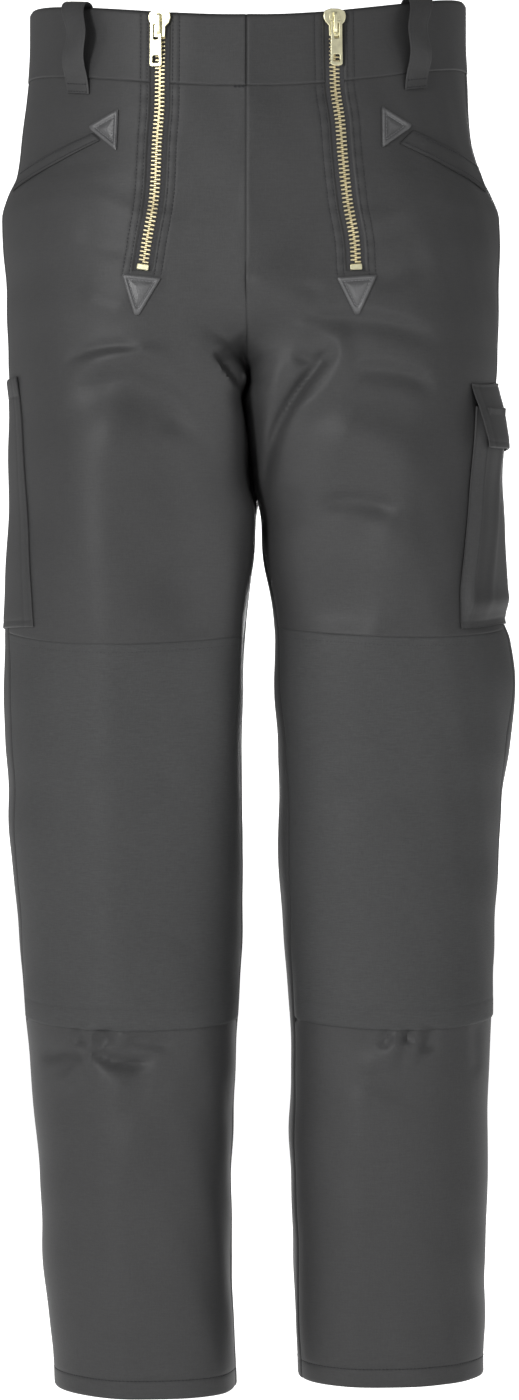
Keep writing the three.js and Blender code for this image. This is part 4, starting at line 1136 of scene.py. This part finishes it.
# Outline of corners [x, y] and of arcs (pull, end), each a quadratic curve from the point before:
# (1-u)^2 start + 2u(1-u) pull + u^2 end.
def traced(*steps):
    u = np.linspace(0, 1, 6)[1:, None]
    points = []
    for step in steps:
        if isinstance(step, tuple):
            start, pulled, end = (np.array(p) for p in (points[-1], *step))
            points.extend((1 - u) ** 2 * start + 2 * u * (1 - u) * pulled + u * u * end)
        else:
            points.append(step)
    return np.array(points, float)


sliderCut = {
    "body": traced([-4.2, -10.5], [4.2, -10.5], [4.5, -2.6], [7.2, 0.2], ([9.6, 4.6], [7.4, 8.4]),
                   ([5.4, 9.4], [3.0, 10.2]), [-3.0, 10.2], ([-5.4, 9.4], [-7.4, 8.4]),
                   ([-9.6, 4.6], [-7.2, 0.2]), [-4.5, -2.6]),
    "arch": traced([-8.8, 3.6], [7.4, 3.6], [7.0, 6.6], ([6.6, 8.2], [4.8, 8.2]), [-5.6, 8.2],
                   ([-8.2, 8.0], [-8.8, 6.0])),
    "gap": traced([-3.2, 4.2], [4.4, 4.2], [4.4, 6.2], [3.4, 7.0], [-2.2, 7.0], [-3.2, 6.2]),
    "crown": traced([-5.2, 1], [5.2, 1], ([5.4, 8.2], [2.6, 8.6]), ([0, 9.2], [-2.6, 8.6]),
                    ([-5.4, 8.2], [-5.2, 1]))[:-1],
}
straight = np.eye(3)
standing = [[0, 0, 1], [1, 0, 0], [0, 1, 0]]  # the arch is drawn as (up, out) and stands along the zip


# Slider: a body, a smaller plate below it, a raised crown and the arch that holds the pull.
def slider(side, paint):
    c = sliderCut
    parts = [
        (plate([c["body"]], 2.9, 0.5), straight, [0, 0, 2.75]),
        (plate([c["body"] * [0.66, 0.9]], 3.2, 0.2), straight, [0, 0, 0.3]),
        (plate([c["crown"] * [0.8, 0.8] + [0, 0.8]], 0.9, 0.3), straight, [0, 0, 4.3]),
        (plate([c["arch"], c["gap"]], 2.6, 0.35), standing, [0, 0, 0]),
    ]
    metalPiece("slider_metal_" + side, side, parts, "garment", "zip_slider_" + side, paint)


# Box outline with cut corners.
def cutBox(half, high, low, cut):
    return np.array([[-half + cut, high], [-half, high - cut], [-half, low + cut], [-half + cut, low],
                     [half - cut, low], [half, low + cut], [half, high - cut], [half - cut, high]])


pullCut = {
    "tab": traced([-3.4, 0.9], [-4.2, -0.2], [-4.5, -31.2], [-3.4, -32.4], [3.4, -32.4], [4.5, -31.2],
                  [4.2, -0.2], [3.4, 0.9]),
    "slot": cutBox(1.9, -0.9, -12.6, 0.5), "hole": cutBox(2.5, -24.2, -30.0, 0.6),
    "aside": {"right": -2.4, "left": 1.0},
}


# Pull: a tab hanging from its hinge, with a slot for the arch and a hole near its end.
def pull(side, paint):
    c = pullCut
    parts = [(plate([c["tab"], c["slot"], c["hole"]], 1.4, 0.28), straight, [c["aside"][side], 0, axisOut])]
    metalPiece("pull_metal_" + side, side, parts, "pull_" + side, "zip_pull_" + side, paint)


threadCut = {"pitch": 3.0, "trimPitch": 2.6, "long": 2.3, "radius": 0.3, "sink": 0.02, "arch": 0.16}


# Stitches: small capsules every pitch along runs of (points, normals), raised in the middle by
# arch x (1 - (x / half the length)^2).
def threads(name, group, paint, pitch=threadCut["pitch"]):
    centres, ways, outs = [], [], []
    for points, normals in group:
        far = travelled(points)
        count = max(1, int(far[-1] / pitch))
        s = (np.arange(count) + 0.5) * far[-1] / count
        before, at, after = (readAlong(x, far, points) for x in (s - 0.6, s, s + 0.6))
        out = unit(readAlong(s, far, normals))
        centres.append(at - out * threadCut["sink"])
        ways.append(unit(after - before))
        outs.append(out)
    centres, ways, outs = (np.concatenate(x) for x in (centres, ways, outs))
    angle = np.arange(6) * np.pi / 3
    profile = np.column_stack([np.cos(angle), np.sin(angle)]) * threadCut["radius"]
    h = threadCut["long"] / 2
    template, faces = capsule([(-h, 0.45), (-0.75 * h, 0.95), (0, 1.1), (0.75 * h, 0.95), (h, 0.45)], profile)
    template[:, 2] += threadCut["arch"] * (1 - (template[:, 0] / h) ** 2)
    stitches = copies(template, faces, centres, ways, np.cross(outs, ways), outs)
    assign(makeObject(name, *stitches, paint, None, 60), "garment", "moleskin")
    print("thread", name, len(centres), "stitches")


# Node of a shader tree; inputs are numbers, colours or other nodes' sockets.
def node(tree, kind, inputs=None, **settings):
    made = tree.nodes.new("ShaderNode" + kind)
    for key, value in settings.items():
        setattr(made, key, value)
    for key, value in (inputs or {}).items():
        if isinstance(value, bpy.types.NodeSocket):
            tree.links.new(value, made.inputs[key])
        else:
            made.inputs[key].default_value = value
    return made


# One step of arithmetic on two numbers or sockets.
def math(tree, operation, a, b):
    return node(tree, "Math", {0: a, 1: b}, operation=operation).outputs[0]


# value + field x weight.
def plus(tree, value, field, weight):
    return math(tree, "ADD", value, math(tree, "MULTIPLY", field, weight))


def objectPlace(tree):
    return node(tree, "TexCoord").outputs["Object"]


# Noise at places multiplied by a stretch, as a number about 0.5.
def noise(tree, stretch, detail=2.0, rough=0.5):
    stretched = node(tree, "VectorMath", {0: objectPlace(tree), 1: stretch}, operation="MULTIPLY").outputs[0]
    made = node(tree, "TexNoise", {"Vector": stretched, "Scale": 1.0, "Detail": detail, "Roughness": rough})
    return made.outputs["Fac"]


def newMaterial(name):
    made = bpy.data.materials.new(name)
    made.use_nodes = True
    made.node_tree.nodes.clear()
    return made, made.node_tree


# Principled surface of the given inputs as the material's output.
def output(tree, inputs):
    shader = node(tree, "BsdfPrincipled", inputs)
    node(tree, "OutputMaterial", {"Surface": shader.outputs["BSDF"]})


# The bend of light that a height field gives; its distance is in metres.
def bumped(tree, height, strength, distance):
    return node(tree, "Bump", {"Height": height, "Strength": strength, "Distance": distance}).outputs[0]


# Colour = base x (1 + sum of weight x (noise - 0.5)) x (1 + weight x painted shading, at least 0.25). The
# painted shading darkens dents, grooves and rolled edges as painted shade and lightens raised seams as
# painted highlight.
def tinted(tree, base, parts, paintedShadingWeight):
    value = 1.0
    for field, weight in parts:
        value = plus(tree, value, math(tree, "SUBTRACT", field, 0.5), weight)
    paintedShading = node(tree, "Attribute", attribute_name="paintedShading").outputs["Fac"]
    shade = plus(tree, 1.0, paintedShading, paintedShadingWeight)
    value = math(tree, "MULTIPLY", value, math(tree, "MAXIMUM", shade, 0.25))
    colour = node(tree, "RGB")
    colour.outputs[0].default_value = (*base, 1)
    return node(tree, "VectorMath", {0: colour.outputs[0], "Scale": value}, operation="SCALE").outputs[0]


# Cloth: long fine noise along warp and weft, a nap and slow clouds; the weave and nap raise it. Its colour
# also takes each piece's painted shading.
def clothMaterial(name, c):
    made, tree = newMaterial(name)
    fine, long = c["fine"], c["fine"] * 0.1
    warp = noise(tree, (fine, fine, long))
    weft = noise(tree, (long, long, fine))
    nap = noise(tree, (c["nap"],) * 3, 3.0, 0.6)
    clouds = noise(tree, (16, 16, 11), 3.0)
    parts = [(warp, c["warp"]), (weft, c["weft"]), (nap, c["napShade"]), (clouds, c["clouds"])]
    height = math(tree, "MULTIPLY", warp, c["warp"])
    for field, weight in parts[1:3]:
        height = plus(tree, height, field, weight)
    output(tree, {
        "Base Color": tinted(tree, c["base"], parts, c["paintedShadingWeight"]), "Roughness": c["rough"],
        "Specular IOR Level": c["specular"], "IOR": 1.3, "Normal": bumped(tree, height, c["bump"], 0.0006)})
    return made


moleskin = clothMaterial("moleskin", {
    "base": (0.0385, 0.0385, 0.039), "fine": 1300, "nap": 700, "warp": 0.22, "weft": 0.3, "napShade": 0.3,
    "clouds": 0.16, "paintedShadingWeight": 0.42, "bump": 0.3, "rough": 0.5, "specular": 0.5})
kneeCloth = clothMaterial("knee_cloth", {
    "base": (0.042, 0.0425, 0.043), "fine": 1500, "nap": 900, "warp": 0.25, "weft": 0.45, "napShade": 0.3,
    "clouds": 0.1, "paintedShadingWeight": 0.35, "bump": 0.4, "rough": 0.55, "specular": 0.45})
tapeCloth = clothMaterial("zip_tape", {
    "base": (0.042, 0.042, 0.044), "fine": 1800, "nap": 1200, "warp": 0.5, "weft": 0.3, "napShade": 0.2,
    "clouds": 0.1, "paintedShadingWeight": 0.3, "bump": 0.5, "rough": 0.8, "specular": 0.2})
thread = clothMaterial("thread", {
    "base": (0.027, 0.027, 0.029), "fine": 2600, "nap": 1500, "warp": 0.4, "weft": 0.4, "napShade": 0.2,
    "clouds": 0.1, "paintedShadingWeight": 0.0, "bump": 0.4, "rough": 0.55, "specular": 0.4})
tabThread = clothMaterial("tab_thread", {
    "base": (0.13, 0.13, 0.135), "fine": 2600, "nap": 1500, "warp": 0.4, "weft": 0.4, "napShade": 0.2,
    "clouds": 0.1, "paintedShadingWeight": 0.0, "bump": 0.4, "rough": 0.55, "specular": 0.4})


leatherLook = {
    "base": (0.072, 0.072, 0.074), "grain": 1100.0, "pores": 1900, "clouds": 90, "grainShade": 0.4,
    "cloudShade": 0.5, "paintedShadingWeight": 0.55, "rough": 0.3, "specular": 0.6, "bump": 0.45,
}


# Leather: cells of grain and fine noise raise it; painted shade darkens the border's rim and stitch groove by
# their lift.
def leatherMaterial(c):
    made, tree = newMaterial("leather")
    cells = node(tree, "TexVoronoi", {"Vector": objectPlace(tree), "Scale": c["grain"]}, feature="SMOOTH_F1")
    cells = cells.outputs["Distance"]
    pores, clouds = (noise(tree, (c[name],) * 3, 3.0) for name in ("pores", "clouds"))
    height = plus(tree, math(tree, "MULTIPLY", cells, 0.7), pores, 0.3)
    parts = [(cells, c["grainShade"]), (clouds, c["cloudShade"])]
    output(tree, {
        "Base Color": tinted(tree, c["base"], parts, c["paintedShadingWeight"]),
        "Roughness": plus(tree, c["rough"], clouds, 0.25), "Specular IOR Level": c["specular"],
        "Normal": bumped(tree, height, c["bump"], 0.0004)})
    return made


# Brass: pale gold, a little darker and rougher in slow spots.
def brassMaterial(name, base, rough):
    made, tree = newMaterial(name)
    spots = noise(tree, (260, 260, 260), 4.0)
    scratches = noise(tree, (2500, 2500, 500), 2.0)
    output(tree, {
        "Base Color": tinted(tree, base, [(spots, 0.35)], 0), "Metallic": 1.0,
        "Roughness": plus(tree, rough, spots, 0.15), "Normal": bumped(tree, scratches, 0.12, 0.0002)})
    return made


leather = leatherMaterial(leatherLook)
brass = brassMaterial("brass", (0.80, 0.76, 0.52), 0.28)
teethBrass = brassMaterial("teeth_brass", (0.82, 0.73, 0.48), 0.32)
print("materials made")

# Pieces of each half, and the rows of stitches that hold them.
for side, s in sides.items():
    frontPanel(side, moleskin)
    backPanel(side, moleskin)
    kneePanel(side, kneeCloth)
    shinPanel(side, moleskin)
    waistband(side, "front", moleskin)
    waistband(side, "side", moleskin)
    zipTape(side, tapeCloth)
    zipTeeth(side, teethBrass)
    zipStop(side, brass)
    slider(side, brass)
    pull(side, brass)
    print("panels", side)

kneeRuns, trimRuns, zipRuns, tabRuns = [], [], [], []
shares = np.linspace(0.012, 0.988, 100)  # of a panel's width, for the rows across the legs
barReach = np.linspace(3.5, 12, 12)  # of the fly's bar of stitches, outwards from the middle
for side, s in sides.items():
    panel = np.linspace(top - 2, zipEnd - 4, 140)
    belt = np.linspace(waistFront - 3, top + 1.5, 40)
    for v, lift in ((panel, -0.3), (belt, bandRise - 0.3)):
        for row in frontCut["stitchRows"]:
            for sign in (-1, 1):
                t = zipPlace(side, v, sign * (zipHalf + row))
                zipRuns.append(onSurface(side, t, v, np.full(len(v), lift)))
    for level, lift, bow in (
        (s["kneeTop"] - kneeCut["topStitch"], -0.42, s["kneeBow"]),
        (s["kneeEnd"] + kneeCut["endStitch"], -0.36, s["endBow"]),
        (s["hemZ"] + hemStitch, -0.3, 0),
    ):
        x = np.linspace(0.012, 0.988, 90)
        v = np.full(len(x), level)
        t = mix(*seams(side, v), x)
        kneeRuns.append(onSurface(side, t, v + bow * np.sin(np.pi * x), np.full(len(x), lift)))
    v = np.full(len(shares), s["hemZ"] + hemStitch)
    kneeRuns.append(onSurface(side, mix(*backSeams(side, v), shares), v, np.full(len(v), -0.3)))

    points, normals, high = pocketWelt(side, moleskin)
    for k in (3, len(points) - 4):
        p, n, h = (x[k, 2:-2] for x in (points, normals, high))
        trimRuns.append((p + n * (h - 0.05)[:, None], n))
    for part in ("zip", "pocket"):
        name = f"{part}_end_leather_{side}"
        p, n, h = leatherTab(name, side, s[part + "Tab"], f"{part}_tab_{side}", leather)
        tabRuns.append([np.concatenate([x, x[:1]]) for x in (p + n * h[:, None], n)])
    for face, x0 in (("front", s["loopX"]), ("back", s["loopBackX"])):
        name = f"loop_{face}_cloth_{side}"
        middle, inward = beltLoop(name, face, s["sign"] * x0, f"loop_{face}_{side}", moleskin)
        for row in (-2, -7):
            p, n = middle[row, 2:-2], inward[row, 2:-2]
            trimRuns.append((p - n * loopCut["thick"] / 2, -n))
for level in (-50.6, -51.4, -52.2):
    v = np.full(len(barReach), level)
    t = placeAt("right", "front", barReach, v)
    trimRuns.append(onSurface("right", t, v, np.full(len(v), 0.1)))
beltLoop("loop_centre_back_cloth", "back", 0, "loop_centre_back", moleskin)
print("trims done")

cargoPocket(moleskin)
cargoFlap(moleskin)
rulePocket(moleskin)
print("pockets done")

threads("threads_zips", zipRuns, thread)
threads("threads_legs", kneeRuns, thread)
threads("threads_trims", trimRuns, thread, threadCut["trimPitch"])
threads("threads_tabs", tabRuns, tabThread, threadCut["trimPitch"])


stageCut = {
    "floor": -1.26, "backdrop": 14, "floorHalf": 15, "backdropHalf": 2.2, "backdropTop": 4,  # metres
    "glowFrom": 0.3, "glowTo": 1.15, "floorGlow": (0.48, 0.76), "backdropGlow": (1.0, 1.0),
}


# Plain pale floor below the hems and a plain backdrop far behind. They glow to stay white: the
# glow grows from near to far between two depths of y.
def stagePlane(name, corners, near, far):
    a, b, c = (np.array(p, float) for p in corners)
    x = np.linspace(0, 1, 5)
    points = a + (b - a) * x[None, :, None] + (c - a) * x[:, None, None]
    n = np.arange(25).reshape(5, 5)
    faces = np.stack([n[:-1, :-1], n[:-1, 1:], n[1:, 1:], n[1:, :-1]], -1).reshape(-1, 4)
    made, tree = newMaterial(name)
    depth = node(tree, "SeparateXYZ", {0: objectPlace(tree)}).outputs["Y"]
    glow = node(tree, "MapRange", {
        "Value": depth, "From Min": stageCut["glowFrom"], "From Max": stageCut["glowTo"],
        "To Min": near, "To Max": far}, interpolation_type="SMOOTHSTEP")
    output(tree, {
        "Base Color": tinted(tree, (0.86, 0.86, 0.86), [(noise(tree, (3, 3, 3)), 0.02)], 0),
        "Roughness": 0.9, "Specular IOR Level": 0.1,
        "Emission Color": (1, 1, 1, 1), "Emission Strength": glow.outputs[0]})
    mesh = bpy.data.meshes.new(name)
    mesh.from_pydata(points.reshape(-1, 3).tolist(), [], faces.tolist())
    mesh.materials.append(made)
    placed(name, mesh)


# Area lamps: place and target in metres, size in metres, power in watts.
lamps = {
    "key": {"place": (-1.5, -2.5, 0.25), "target": (0, 0, -0.58), "size": (0.45, 1.2), "power": 50},
    "side": {"place": (-2.6, -1.2, -0.2), "target": (0, 0, -0.5), "size": (0.5, 1.8), "power": 7},
    "front": {"place": (0.9, -3.2, -1.1), "target": (0, 0, -0.8), "size": (1.6, 1.2), "power": 18},
    "fill": {"place": (2.0, -2.0, -0.5), "target": (0, 0, -0.6), "size": (0.8, 1.8), "power": 11},
    "back": {"place": (0.4, 3.0, 0.2), "target": (0, 0, -0.5), "size": (0.8, 1.6), "power": 36},
}


for name, lamp in lamps.items():
    data = bpy.data.lights.new(name, "AREA")
    data.shape = "RECTANGLE"
    data.size, data.size_y = lamp["size"]
    data.energy = lamp["power"]
    made = placed(name, data)
    made.location = lamp["place"]
    way = Vector(lamp["target"]) - Vector(lamp["place"])
    made.rotation_euler = way.to_track_quat("-Z", "Y").to_euler()

world = bpy.data.worlds.new("studio")
bpy.context.scene.world = world
world.use_nodes = True
background = world.node_tree.nodes["Background"].inputs
background["Color"].default_value = (1, 1, 1, 1)
background["Strength"].default_value = 0.3

view = {"place": (0.0074, -3.0, -0.5076), "lens": 99.54, "sensor": 36}  # metres and millimetres
data = bpy.data.cameras.new("view")
data.sensor_width = view["sensor"]
data.lens = view["lens"]
camera = placed("view", data)
camera.location = view["place"]
camera.rotation_euler = (np.pi / 2, 0, 0)
bpy.context.scene.camera = camera
half, low, back = stageCut["floorHalf"], stageCut["floor"], stageCut["backdrop"]
stagePlane("floor", [(-half, -half, low), (half, -half, low), (-half, back, low)], *stageCut["floorGlow"])
half = stageCut["backdropHalf"]
stagePlane("backdrop", [(-half, back, low), (half, back, low), (-half, back, stageCut["backdropTop"])],
           *stageCut["backdropGlow"])
bpy.context.scene.view_settings.view_transform = "Standard"
print("stage set")
